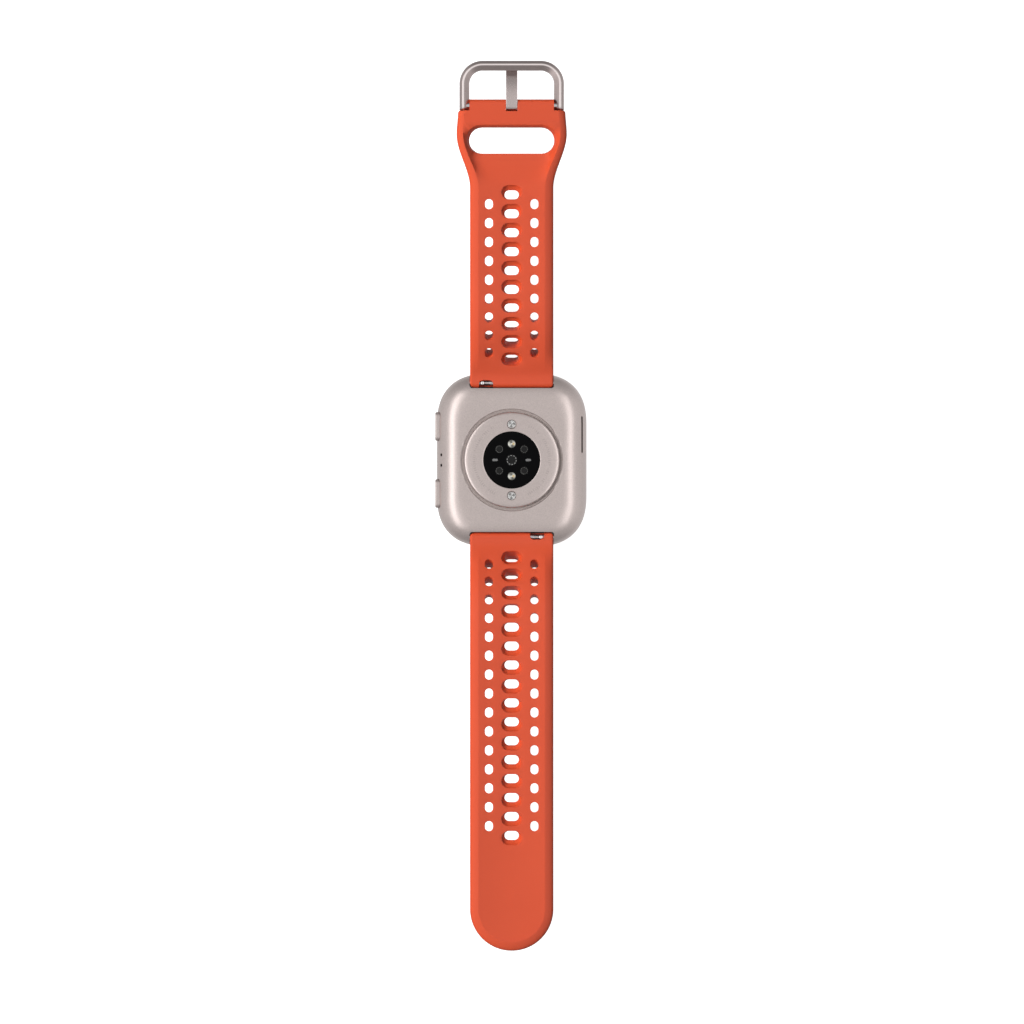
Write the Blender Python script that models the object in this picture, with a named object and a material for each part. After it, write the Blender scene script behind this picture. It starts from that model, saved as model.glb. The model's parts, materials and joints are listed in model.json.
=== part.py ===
"""GPS running watch, lying on its display with both straps stretched out.

Frame: the origin is the centre of the display glass's outer face. +Z points from the display to
the wrist side, +Y towards the buckle strap (12 o'clock), and the buttons are on the -X side.
All named sizes are millimetres; new_object() turns them into metres.
"""

import math

import bmesh
import bpy
from mathutils import Matrix, Vector

METRE = 0.001  # one millimetre in metres

# ---- driving dimensions -------------------------------------------------------------------
STRAP_WIDTH = 22.0
CASE_HALF_W = 19.75
CASE_HALF_L = 22.8
CASE_CORNER = 11.7
BACK_Z = 9.05  # flat of the back, around the sensor island
FIT = 0.12  # gap between pieces that touch
RUN = 0.06  # radial gap of a running fit

# spring bars: axis at y = +-BAR_Y, height BAR_Z
BAR_Y = 20.35
BAR_Z = 6.1
BAR_R = 0.7
BAR_BORE = 0.48
TIP_R = 0.42
KNUCKLE_R = 1.3
LUG_HALF = STRAP_WIDTH / 2 + 0.15
TIP_REACH = 0.7
KNOB_X = 7.72
POCKET_X = (4.85, 8.65)
POCKET_DEPTH = 0.85

# straps
STRAP_THIN = 2.6
STRAP_THICK = 5.0
RISE_DEG = 27.0
LEVEL_Y = (25.4, 46.2)  # the climb fades out between these
PITCH = 5.0
BAND = 2.2
EDGE_DROP = 0.55
TIP_CENTRE_Y = 118.6
HEAD_HALF = 14.55
HEAD_Y = (71.8, 85.8)  # it widens between these
SHOULDER_Y = 92.2
STRAP_END_Y = 95.2
SLOT_Y, SLOT_HALF_W, SLOT_HALF_H = 84.3, 11.22, 3.42
CENTRE_HOLE = (3.78, 2.36)
SIDE_HOLE = (2.1, 2.7)
SIDE_HOLE_X = 5.97
LONG_FIRST_Y, BUCKLE_FIRST_Y = 24.95, 25.85
SIDE_SHIFT = 0.52  # of the pitch, from one centre hole to the side holes after it

# buckle
PIN_Y = 93.55
PIN_R = 0.7
ARM_EYE_R = 1.2
BUCKLE_HALF, BUCKLE_TOP = 13.8, 105.4
BUCKLE_BAR, BUCKLE_THICK, BUCKLE_CORNER = 2.62, 2.4, 6.0
TONGUE_WIDTH = 3.0

# sensor island
GROOVE_R, ISLAND_R, WINDOW_R = 13.42, 12.63, 7.45
CONTACT_Y, LED_Y, DIODE = 9.43, 4.26, (3.28, 2.85)

# buttons
BUTTON_Y, BUTTON_Z = 8.85, 4.3
BUTTON_SIZE = (7.6, 2.5)
BUTTON_FACE_X = 20.2
BUTTON_TRAVEL = 0.3


# ---- scene and materials ------------------------------------------------------------------
def clear_scene():
    for item in list(bpy.data.objects):
        bpy.data.objects.remove(item)


def material(name, colour, roughness, metallic=0.0):
    made = bpy.data.materials.get(name)
    if made is None:
        made = bpy.data.materials.new(name)
        made.use_nodes = True
        shader = made.node_tree.nodes["Principled BSDF"]
        shader.inputs["Base Color"].default_value = (*colour, 1.0)
        shader.inputs["Roughness"].default_value = roughness
        shader.inputs["Metallic"].default_value = metallic
    return made


FINISHES = {
    "alloy": ((0.52, 0.45, 0.43), 0.38, 1.0),
    "silicone": ((0.68, 0.10, 0.04), 0.55, 0.0),
    "buckle_steel": ((0.50, 0.43, 0.42), 0.30, 1.0),
    "bar_steel": ((0.62, 0.62, 0.63), 0.25, 1.0),
    "black_glass": ((0.006, 0.006, 0.007), 0.08, 0.0),
    "lens": ((0.55, 0.55, 0.50), 0.15, 0.0),
    "contact": ((0.75, 0.75, 0.74), 0.22, 1.0),
    "seal": ((0.05, 0.04, 0.04), 0.70, 0.0),
    "board": ((0.02, 0.12, 0.06), 0.50, 0.0),
    "cell": ((0.35, 0.36, 0.38), 0.40, 0.6),
    "black_plastic": ((0.02, 0.02, 0.02), 0.45, 0.0),
}


def new_object(name, mesh_builder, finish, smooth=35.0):
    """Turns a bmesh drawn in millimetres into a named object in metres."""
    bmesh.ops.remove_doubles(mesh_builder, verts=mesh_builder.verts, dist=1e-5)
    bmesh.ops.recalc_face_normals(mesh_builder, faces=mesh_builder.faces)
    bmesh.ops.scale(mesh_builder, vec=(METRE,) * 3, verts=mesh_builder.verts)
    mesh = bpy.data.meshes.new(name)
    mesh_builder.to_mesh(mesh)
    mesh_builder.free()
    mesh.shade_smooth()
    mesh.set_sharp_from_angle(angle=math.radians(smooth))
    made = bpy.data.objects.new(name, mesh)
    bpy.context.scene.collection.objects.link(made)
    if finish:
        mesh.materials.append(material(finish, *FINISHES[finish]))
    return made


def as_cutter(made):
    made.hide_render = True
    made.display_type = "WIRE"
    return made


def subtract(target, *cutters):
    for cutter in cutters:
        step = target.modifiers.new("cut", "BOOLEAN")
        step.operation = "DIFFERENCE"
        step.solver = "EXACT"
        step.object = as_cutter(cutter)
    return target


# ---- outlines and solids ------------------------------------------------------------------
def arc(cx, cy, radius, start, end, steps):
    """Points of an arc, angles in degrees."""
    turn = [math.radians(start + (end - start) * i / steps) for i in range(steps + 1)]
    return [(cx + radius * math.cos(a), cy + radius * math.sin(a)) for a in turn]


def rounded_rect(half_x, half_y, radius, steps=6):
    corners = ((1, 1, 0), (-1, 1, 90), (-1, -1, 180), (1, -1, 270))
    outline = []
    for sx, sy, start in corners:
        centre = (sx * (half_x - radius), sy * (half_y - radius))
        outline += arc(*centre, radius, start, start + 90, steps)
    return outline


def pill(size_x, size_y, steps=8):
    """A slot with two round ends, each of that many steps."""
    radius = min(size_x, size_y) / 2
    reach_x = size_x / 2 - radius
    reach_y = size_y / 2 - radius
    start = -90 if size_x > size_y else 0
    outline = arc(reach_x, reach_y, radius, start, start + 180, steps)
    return outline + arc(-reach_x, -reach_y, radius, start + 180, start + 360, steps)


def loft_rings(bm, rings):
    """Joins closed rings of 3-D points, in order, and caps the first and the last."""
    loops = [[bm.verts.new(p) for p in ring] for ring in rings]
    for loop in loops:
        for a, b in zip(loop, loop[1:] + loop[:1]):
            bm.edges.new((a, b))
    bm.faces.new(loops[0])
    bm.faces.new(loops[-1])
    for first, second in zip(loops, loops[1:]):
        count = len(first)
        for i in range(count):
            j = (i + 1) % count
            bm.faces.new((first[i], first[j], second[j], second[i]))
    return bm


def extrude_outline(name, outline, low, high, finish=None, place=None):
    """A prism of a flat outline from z = low to z = high; place turns and moves it."""
    bm = bmesh.new()
    face = bm.faces.new([bm.verts.new((x, y, low)) for x, y in outline])
    grown = bmesh.ops.extrude_face_region(bm, geom=[face])
    top = [item for item in grown["geom"] if isinstance(item, bmesh.types.BMVert)]
    bmesh.ops.translate(bm, vec=(0, 0, high - low), verts=top)
    if place:
        bmesh.ops.transform(bm, matrix=place, verts=bm.verts)
    return new_object(name, bm, finish)


def turned(name, profile, finish=None, steps=32, place=None):
    """A solid of revolution about Z from (radius, z) points; radius 0 closes it on the axis."""
    bm = bmesh.new()
    verts = [bm.verts.new((r, 0, z)) for r, z in profile]
    closed = profile[0][0] > 0 or profile[-1][0] > 0
    edges = [bm.edges.new(pair) for pair in zip(verts, verts[1:])]
    if closed:
        edges.append(bm.edges.new((verts[-1], verts[0])))
    bmesh.ops.spin(bm, geom=verts + edges, cent=(0, 0, 0), axis=(0, 0, 1),
                   angle=math.tau, steps=steps, use_merge=True)
    bmesh.ops.remove_doubles(bm, verts=bm.verts, dist=1e-4)
    if place:
        bmesh.ops.transform(bm, matrix=place, verts=bm.verts)
    return new_object(name, bm, finish)


def along_x(x=0.0, y=0.0, z=0.0):
    """Turns a solid drawn about Z so that its axis lies along +X, and moves it."""
    return Matrix.Translation((x, y, z)) @ Matrix.Rotation(math.pi / 2, 4, "Y")


def rod(name, radius, x0, x1, y, z, finish=None, steps=16):
    outline = [(0, x0), (radius, x0), (radius, x1), (0, x1)]
    return turned(name, outline, finish, steps, along_x(0, y, z))


def tube(name, outer, inner, x0, x1, y, z, finish=None, steps=16):
    outline = [(inner, x0), (outer, x0), (outer, x1), (inner, x1)]
    return turned(name, outline, finish, steps, along_x(0, y, z))


def block(name, low, high, finish=None):
    outline = [(low[0], low[1]), (high[0], low[1]), (high[0], high[1]), (low[0], high[1])]
    return extrude_outline(name, outline, low[2], high[2], finish)


# ---- the case -----------------------------------------------------------------------------
CASE_PROFILE = (  # (inset from the widest outline, height)
    (0.45, 0.5), (0.12, 0.95), (0.0, 2.1), (0.05, 3.2), (0.3, 4.6), (0.8, 5.9),
    (1.6, 7.0), (2.6, 7.8), (3.8, 8.36), (5.2, 8.75), (7.0, 8.97), (9.4, BACK_Z),
)
GLASS_INSET = 0.75
CAVITY_INSET = 2.0
CAVITY_Z = (1.3, 3.2, 5.5, 7.9)
CAVITY_END_Y = 17.7


def case_ring(inset, z, half_l=CASE_HALF_L, half_w=CASE_HALF_W):
    radius = max(CASE_CORNER - inset, 2.0)
    outline = rounded_rect(half_w - inset, half_l - inset, radius, 6)
    return [(x, y, z) for x, y in outline]


def strap_notch(name, side):
    """The recess in the case's end that holds the strap's knuckle; its floor stops the strap."""
    wall = BAR_Y - KNUCKLE_R - FIT
    floor = BAR_Z - KNUCKLE_R - FIT
    profile = ((wall, 12.0), (wall, floor), (BAR_Y, floor), (BAR_Y + 1.3, floor - 0.76),
               (BAR_Y + 2.85, floor - 1.78), (BAR_Y + 5.65, floor - 3.58), (BAR_Y + 5.65, 12.0))
    bm = bmesh.new()
    rings = [[(x, side * y, z) for y, z in profile] for x in (-LUG_HALF, LUG_HALF)]
    return new_object(name, loft_rings(bm, rings), None)


def build_case():
    bm = loft_rings(bmesh.new(), [case_ring(inset, z) for inset, z in CASE_PROFILE])
    case = new_object("case_body", bm, "alloy")

    seat = [case_ring(GLASS_INSET - FIT, z) for z in (-1.0, CAVITY_Z[0])]
    front = [case_ring(CAVITY_INSET, z) for z in (0.8, CAVITY_Z[1])]
    subtract(case, new_object("cut_glass_seat", loft_rings(bmesh.new(), seat), None))
    subtract(case, new_object("cut_front_cavity", loft_rings(bmesh.new(), front), None))

    # the deep cavity stops short of the two strap notches and narrows towards the back
    deep = []
    for inset, z in ((2.3, CAVITY_Z[1] - 0.4), (2.3, CAVITY_Z[2]), (4.9, CAVITY_Z[3])):
        outline = rounded_rect(CASE_HALF_W - inset, CAVITY_END_Y, 7.0, 6)
        deep.append([(x, y, z) for x, y in outline])
    subtract(case, new_object("cut_deep_cavity", loft_rings(bmesh.new(), deep), None))

    for side, name in ((1, "upper"), (-1, "lower")):
        subtract(case, strap_notch("cut_notch_" + name, side))
        reach = LUG_HALF + TIP_REACH + 0.25
        subtract(case, rod("cut_bar_" + name, TIP_R + 0.08, -reach, reach, side * BAR_Y,
                           BAR_Z, steps=12))

    # round seat and opening of the sensor island
    island = [(0, 8.35), (GROOVE_R, 8.35), (GROOVE_R, 11.0), (0, 11.0)]
    subtract(case, turned("cut_island_seat", island, steps=32))
    subtract(case, turned("cut_island_hole", [(0, 7.0), (11.2, 7.0), (11.2, 9.5), (0, 9.5)], steps=24))

    # button pockets and stem holes
    for side, name in ((1, "upper"), (-1, "lower")):
        place = Matrix.Translation((0, side * BUTTON_Y, BUTTON_Z)) @ Matrix.Rotation(-math.pi / 2, 4, "Y")
        turned_pill = [(y, x) for x, y in reversed(pill(BUTTON_SIZE[0] + 0.2, BUTTON_SIZE[1] + 0.2))]
        subtract(case, extrude_outline("cut_button_" + name, turned_pill, 18.5, 22.0, None, place))
        subtract(case, rod("cut_stem_" + name, 0.86, -20.0, -15.0, side * BUTTON_Y, BUTTON_Z))

    # two microphone holes and the speaker slot, low on the side walls
    for y, name in ((1.3, "upper"), (-1.5, "lower")):
        subtract(case, rod("cut_microphone_" + name, 0.35, -21.0, -15.0, y, 5.0, steps=10))
    slot = Matrix.Translation((0, 6.7, 5.2)) @ Matrix.Rotation(math.pi / 2, 4, "Y")
    slot_outline = [(y, x) for x, y in reversed(pill(9.7, 0.8, 4))]
    subtract(case, extrude_outline("cut_speaker", slot_outline, 15.0, 22.0, None, slot))
    return case


def build_display():
    glass = [case_ring(GLASS_INSET + drop, z) for drop, z in
             ((0.9, 0.0), (0.35, 0.12), (0.06, 0.4), (0.0, 0.65), (0.0, 1.0))]
    new_object("display_glass", loft_rings(bmesh.new(), glass), "black_glass")

    gasket = extrude_outline("display_gasket", [p[:2] for p in case_ring(0.95, 0)], 1.05, 1.24, "seal")
    hole = extrude_outline("cut_gasket", [p[:2] for p in case_ring(1.9, 0)], 0.5, 2.0)
    subtract(gasket, hole)
    new_object("display_panel", loft_rings(bmesh.new(), [case_ring(2.5, 1.3), case_ring(2.5, 2.2)]),
               "black_plastic")


def build_sensor_island():
    profile = [(WINDOW_R + 0.08, 8.75), (WINDOW_R + 0.08, 9.9), (7.9, 10.0), (10.0, 9.86),
               (11.4, 9.52), (12.3, 9.14), (ISLAND_R, 8.8), (ISLAND_R, 8.5), (11.0, 8.5),
               (11.0, 8.05), (10.2, 8.05), (10.2, 8.75)]
    island = turned("sensor_island", profile, "alloy", 32)
    for side, name in ((1, "upper"), (-1, "lower")):
        hole = [(0, 8.0), (1.13, 8.0), (1.13, 11.0), (0, 11.0)]
        subtract(island, turned("cut_contact_" + name, hole, None, 16,
                                Matrix.Translation((0, side * CONTACT_Y, 0))))
        contact = [(0, 8.3), (1.03, 8.3), (1.03, 9.8), (0.9, 9.95), (0, 9.95)]
        turned("charge_contact_" + name, contact, "contact", 16,
               Matrix.Translation((0, side * CONTACT_Y, 0)))
    turned("island_gasket", [(12.75, 8.45), (13.3, 8.45), (13.3, 8.7), (12.75, 8.7)], "seal", 32)

    dome = [(0, 9.35), (WINDOW_R, 9.35), (WINDOW_R, 9.88), (7.0, 10.0), (4.4, 10.3), (0, 10.45)]
    window = turned("sensor_window", dome, "black_glass", 28)
    build_optics(window)
    turned("sensor_board", [(0, 8.0), (9.8, 8.0), (9.8, 8.25), (0, 8.25)], "board", 20)
    for side, name in ((1, "upper"), (-1, "lower")):
        block("led_chip_" + name, (-0.8, side * LED_Y - 0.8, 8.3), (0.8, side * LED_Y + 0.8, 8.8), "lens")


def build_optics(window):
    """Round lenses and two bars, each in its own hole through the black window."""
    spots = [("led_lens_upper", 0, LED_Y, 1.08), ("led_lens_lower", 0, -LED_Y, 1.08),
             ("centre_lens", 0, 0, 1.5)]
    for count, (sx, sy) in enumerate(((-1, 1), (1, 1), (-1, -1), (1, -1)), 1):
        spots.append((f"photodiode_lens_{count}", sx * DIODE[0], sy * DIODE[1], 1.08))
    for name, x, y, radius in spots:
        top = 10.4 - 0.008 * (x * x + y * y)
        place = Matrix.Translation((x, y, 0))
        wide = radius + RUN
        hole = [(0, 9.0), (wide, 9.0), (wide, 11.0), (0, 11.0)]
        subtract(window, turned("cut_" + name, hole, None, 12, place))
        turned(name, [(0, 9.4), (radius, 9.4), (radius, top - 0.08), (radius * 0.8, top), (0, top)],
               "lens", 12, place)
    for side, name in ((-1, "infrared_bar_left"), (1, "infrared_bar_right")):
        place = Matrix.Translation((side * LED_Y, 0, 0))
        subtract(window, extrude_outline("cut_" + name, pill(1.82, 0.8, 4), 9.0, 11.0, None, place))
        extrude_outline(name, pill(1.7, 0.68, 4), 9.4, 10.2, "lens", place)


def build_internals():
    new_object("inner_plate", loft_rings(bmesh.new(), [case_ring(2.5, 2.35), case_ring(2.5, 2.85)]),
               "cell")
    board = [(x, y) for x, y in rounded_rect(14.6, 16.8, 4.0, 4)]
    extrude_outline("main_board", board, 3.3, 4.0, "board")
    extrude_outline("battery", rounded_rect(10.4, 12.6, 1.2, 3), 4.3, 7.5, "cell")
    block("board_shield", (-8.0, 13.2, 4.1), (8.0, 16.4, 5.3), "bar_steel")
    block("gps_antenna", (-10.0, -16.6, 4.1), (10.0, -13.4, 4.6), "contact")
    extrude_outline("vibration_motor", rounded_rect(1.6, 4.2, 1.0, 3), 4.2, 6.6, "bar_steel",
                    Matrix.Translation((13.0, -7.0, 0)))
    extrude_outline("speaker_unit", rounded_rect(1.7, 5.4, 0.8, 3), 4.15, 6.4, "black_plastic",
                    Matrix.Translation((14.3, 6.7, 0)))
    block("speaker_mesh", (16.2, 1.9, 4.6), (16.5, 11.5, 5.8), "bar_steel")
    block("microphone", (-16.4, -2.0, 4.2), (-14.9, 1.8, 5.6), "black_plastic")
    for count, (sx, sy) in enumerate(((-1, 1), (1, 1), (-1, -1), (1, -1)), 1):
        screw = [(0, 2.95), (0.5, 2.95), (0.5, 4.1), (0.95, 4.1), (0.95, 4.5), (0, 4.5)]
        screw_place = Matrix.Translation((sx * 11.4, sy * 14.4, 0))
        turned(f"plate_screw_{count}", screw, "bar_steel", 8, screw_place)
        bore = [(0, 3.0), (0.62, 3.0), (0.62, 5.0), (0, 5.0)]
        hole = turned(f"cut_screw_{count}", bore, None, 8, screw_place)
        subtract(bpy.data.objects["main_board"], hole)


# ---- buttons ------------------------------------------------------------------------------
def build_button(side, name):
    """Cap and stem in one piece, a seal in the wall, a retaining clip and the tactile switch."""
    y = side * BUTTON_Y
    place = Matrix.Translation((0, y, BUTTON_Z)) @ Matrix.Rotation(-math.pi / 2, 4, "Y")
    bm = bmesh.new()
    back = BUTTON_FACE_X - 1.3
    levels = ((0.0, back), (0.0, BUTTON_FACE_X - 0.25), (0.12, BUTTON_FACE_X - 0.06), (0.35, BUTTON_FACE_X))
    rings = []
    for inset, x in levels:
        outline = pill(BUTTON_SIZE[0] - 2 * inset, BUTTON_SIZE[1] - 2 * inset)
        rings.append([(b, a, x) for a, b in outline])
    loft_rings(bm, rings)
    bmesh.ops.transform(bm, matrix=place, verts=bm.verts)
    cap = new_object("button_" + name, bm, "alloy")
    stem = rod("stem_" + name, 0.5, -(back + 0.3), -16.9, y, BUTTON_Z)
    join = cap.modifiers.new("stem", "BOOLEAN")
    join.operation = "UNION"
    join.solver = "EXACT"
    join.object = as_cutter(stem)
    tube("button_seal_" + name, 0.8, 0.56, -18.35, -17.75, y, BUTTON_Z, "seal")
    tube("button_clip_" + name, 1.0, 0.55, -17.25, -17.0, y, BUTTON_Z, "bar_steel")
    block("button_switch_" + name, (-16.5, y - 1.4, 4.1), (-15.0, y + 1.4, 5.2), "black_plastic")


# ---- straps -------------------------------------------------------------------------------
def smooth(value):
    value = min(1.0, max(0.0, value))
    return value * value * (3 - 2 * value)


def strap_slope(y):
    """The strap climbs away from the case, then levels out; y is the distance from the centre."""
    climb = smooth((y - BAR_Y) / 3.6)
    level = smooth((y - LEVEL_Y[0]) / (LEVEL_Y[1] - LEVEL_Y[0]))
    return math.radians(RISE_DEG) * climb * (1 - level)


def strap_top(y):
    """Height of the wrist side at distance y."""
    steps = 120
    stop = min(y, LEVEL_Y[1])
    width = (stop - BAR_Y) / steps
    climbed = sum(math.tan(strap_slope(BAR_Y + (i + 0.5) * width)) for i in range(steps))
    return BAR_Z + KNUCKLE_R + climbed * width


def strap_thickness(y):
    grow = smooth((y - BAR_Y) / 3.15)
    shrink = smooth((y - 28.0) / 13.0)
    return STRAP_THIN + (STRAP_THICK - STRAP_THIN) * grow * (1 - shrink)


STRAP_TOP_Z = strap_top(LEVEL_Y[1])
STRAP_MID_Z = STRAP_TOP_Z - STRAP_THIN / 2


def strap_ring(side, top, bottom, half, band, drop):
    """Six corners: wrist side with two sloping bands, display side flat. Points are (y, z)."""
    across = Vector(bottom) - Vector(top)
    edge = Vector(top) + across.normalized() * drop
    inner = max(half - band, half * 0.4)
    points = ((half, bottom), (half, edge), (inner, top), (-inner, top), (-half, edge), (-half, bottom))
    return [(x, side * p[0], p[1]) for x, p in points]


def knuckle_rings(side):
    rings = []
    for degrees, half in ((80, 10.3), (50, 10.9), (20, 11.0)):
        turn = math.radians(degrees)
        y = BAR_Y - KNUCKLE_R * math.sin(turn)
        rise = KNUCKLE_R * math.cos(turn)
        rings.append(strap_ring(side, (y, BAR_Z + rise), (y, BAR_Z - rise), half, 0.3, 0.02 * rise))
    return rings


def strap_station(side, y, half):
    slope = strap_slope(y)
    top = Vector((y, strap_top(y)))
    bottom = top - strap_thickness(y) * Vector((-math.sin(slope), math.cos(slope)))
    fade = smooth((y - BAR_Y) / 4.0)
    return strap_ring(side, top, bottom, half, BAND * fade + 0.2, EDGE_DROP * fade + 0.02)


def strap_blank(name, side, far_stations):
    near = (20.9, 22.0, 23.1, 24.4, 26.2, 28.4, 31.0, 33.6, 36.4, 39.4, 42.5, LEVEL_Y[1])
    rings = knuckle_rings(side)
    rings += [strap_station(side, y, STRAP_WIDTH / 2) for y in near]
    rings += [strap_station(side, y, half) for y, half in far_stations]
    return new_object(name, loft_rings(bmesh.new(), rings), "silicone")


def hole_cutter(name, side, y, x, size, scoop, steps):
    """A pill through the strap, square to its surface; a scoop widens it on the wrist side."""
    slope = strap_slope(y)
    tilt = Matrix.Rotation(side * slope, 4, "X")
    place = Matrix.Translation((x, side * y, strap_top(y))) @ tilt
    bm = bmesh.new()
    wide, tall = size
    rings = [[(px, py, z) for px, py in pill(wide, tall, steps)] for z in (-7.0, 1.0)]
    loft_rings(bm, rings)
    bmesh.ops.transform(bm, matrix=place, verts=bm.verts)
    made = [new_object(name, bm, None)]
    if scoop:
        bm = bmesh.new()
        # the scoop reaches further towards the strap's free end than towards the case
        levels = ((0.1, 0.15, -1.1), (1.1, 0.75, 0.5))
        rings = []
        for spread, shift, z in levels:
            outline = pill(wide + 2 * spread + 0.01, tall + 1.6 * spread + 0.01, steps)
            rings.append([(px, py + side * shift, z) for px, py in outline])
        loft_rings(bm, rings)
        bmesh.ops.transform(bm, matrix=place, verts=bm.verts)
        made.append(new_object(name + "_scoop", bm, None))
    return made


def punch_strap(strap, side, first_y, centre_count, side_count):
    """Centre holes every PITCH of strap length, side holes half a pitch further out."""
    y = first_y
    walked = 0.0
    marks = {0.0: y}
    step = 0.05
    last = (centre_count + 1) * PITCH
    while walked < last:
        y += step * math.cos(strap_slope(y))
        walked = round(walked + step, 4)
        marks[walked] = y
    for i in range(centre_count):
        along = marks[round(i * PITCH, 4)]
        name = f"cut_{strap.name}_c{i}"
        subtract(strap, *hole_cutter(name, side, along, 0, CENTRE_HOLE, True, 4))
    for i in range(side_count):
        along = marks[round((i + SIDE_SHIFT) * PITCH, 4)]
        for sx in (-1, 1):
            name = f"cut_{strap.name}_s{i}_{'l' if sx < 0 else 'r'}"
            x = sx * SIDE_HOLE_X
            subtract(strap, *hole_cutter(name, side, along, x, SIDE_HOLE, False, 3))


def bar_pocket(strap, side, knob_side):
    """Bore for the spring bar, and the pocket in the wrist side that bares the release knob."""
    subtract(strap, rod("cut_bore_" + strap.name, BAR_R + RUN, -12, 12, side * BAR_Y, BAR_Z, steps=16))
    x0, x1 = sorted((knob_side * POCKET_X[0], knob_side * POCKET_X[1]))
    y0, y1 = sorted((side * (BAR_Y - 2.0), side * (BAR_Y + POCKET_DEPTH)))
    floor = BAR_Z - POCKET_DEPTH
    subtract(strap, block("cut_pocket_" + strap.name, (x0, y0, floor), (x1, y1, BAR_Z + 4)))


def build_long_strap():
    tip = []
    for degrees in (0, 20, 36, 50, 62, 72, 80, 86):
        turn = math.radians(degrees)
        tip.append((TIP_CENTRE_Y + STRAP_WIDTH / 2 * math.sin(turn), STRAP_WIDTH / 2 * math.cos(turn)))
    strap = strap_blank("strap_long", -1, tip)
    punch_strap(strap, -1, LONG_FIRST_Y, 16, 15)
    bar_pocket(strap, -1, 1)


def build_buckle_strap():
    """The short strap: it widens into a head with a slot for the tail, the pin bore and a notch."""
    head = []
    for share in (0.0, 0.17, 0.33, 0.5, 0.67, 0.83, 1.0):
        y = HEAD_Y[0] + share * (HEAD_Y[1] - HEAD_Y[0])
        head.append((y, STRAP_WIDTH / 2 + (HEAD_HALF - STRAP_WIDTH / 2) * smooth(share)))
    head += [(SHOULDER_Y - 0.6, 14.25), (SHOULDER_Y, 13.7), (SHOULDER_Y + 0.02, 11.05),
             (STRAP_END_Y - 0.4, 11.05), (STRAP_END_Y, 10.8)]
    strap = strap_blank("strap_buckle", 1, head)
    punch_strap(strap, 1, BUCKLE_FIRST_Y, 10, 9)
    bar_pocket(strap, 1, -1)
    slot = extrude_outline("cut_tail_slot", pill(2 * SLOT_HALF_W, 2 * SLOT_HALF_H), 5, 20, None,
                           Matrix.Translation((0, SLOT_Y, 0)))
    pin = rod("cut_pin_bore", PIN_R + RUN + 0.02, -12, 12, PIN_Y, STRAP_MID_Z)
    notch = block("cut_tongue_notch", (-1.7, 91.65, 5), (1.7, 97, 20))
    subtract(strap, slot, pin, notch)


# ---- spring bars with quick release -------------------------------------------------------
def coil(name, x0, x1, y, z, radius, wire, turns, finish):
    """A helical spring along X."""
    per_turn = 8
    count = int(turns * per_turn)
    sides = 4
    rings = []
    for i in range(count + 1):
        turn = math.tau * i / per_turn
        x = x0 + (x1 - x0) * i / count
        outward = Vector((0, math.cos(turn), math.sin(turn)))
        ring = []
        for k in range(sides):
            a = math.tau * k / sides
            ring.append(Vector((x, y, z)) + outward * (radius + wire * math.cos(a))
                        + Vector((wire * math.sin(a), 0, 0)))
        rings.append(ring)
    return new_object(name, loft_rings(bmesh.new(), rings), finish)


def build_spring_bar(side, knob_side, name):
    """Tube, a fixed tip, and a sprung tip that a knob in the strap's pocket draws back."""
    y = side * BAR_Y
    end = LUG_HALF - 0.35
    bar = tube("bar_tube_" + name, BAR_R, BAR_BORE, -end, end, y, BAR_Z, "bar_steel")
    x0, x1 = sorted((knob_side * (KNOB_X + 0.75), knob_side * (KNOB_X - 2.1)))
    subtract(bar, block("cut_tube_slot_" + name, (x0, y - 0.5, BAR_Z), (x1, y + 0.5, BAR_Z + 2)))

    reach = LUG_HALF + TIP_REACH
    x0, x1 = sorted((-knob_side * reach, -knob_side * 0.6))
    rod("bar_tip_" + name, TIP_R, x0, x1, y, BAR_Z, "bar_steel", 12)
    x0, x1 = sorted((knob_side * reach, knob_side * 4.6))
    slider = rod("quick_release_" + name, TIP_R, x0, x1, y, BAR_Z, "bar_steel", 12)
    knob = turned("knob_" + name, [(0, BAR_Z + 0.1), (0.34, BAR_Z + 0.1), (0.34, BAR_Z + 0.72),
                                   (0.56, BAR_Z + 0.8), (0.56, BAR_Z + 1.0), (0.3, BAR_Z + 1.2),
                                   (0, BAR_Z + 1.2)], None, 12,
                  Matrix.Translation((knob_side * KNOB_X, y, 0)))
    join = slider.modifiers.new("knob", "BOOLEAN")
    join.operation = "UNION"
    join.solver = "EXACT"
    join.object = as_cutter(knob)
    x0, x1 = sorted((knob_side * 4.45, -knob_side * 0.45))
    coil("bar_spring_" + name, x0, x1, y, BAR_Z, 0.32, 0.09, 6, "bar_steel")


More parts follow.
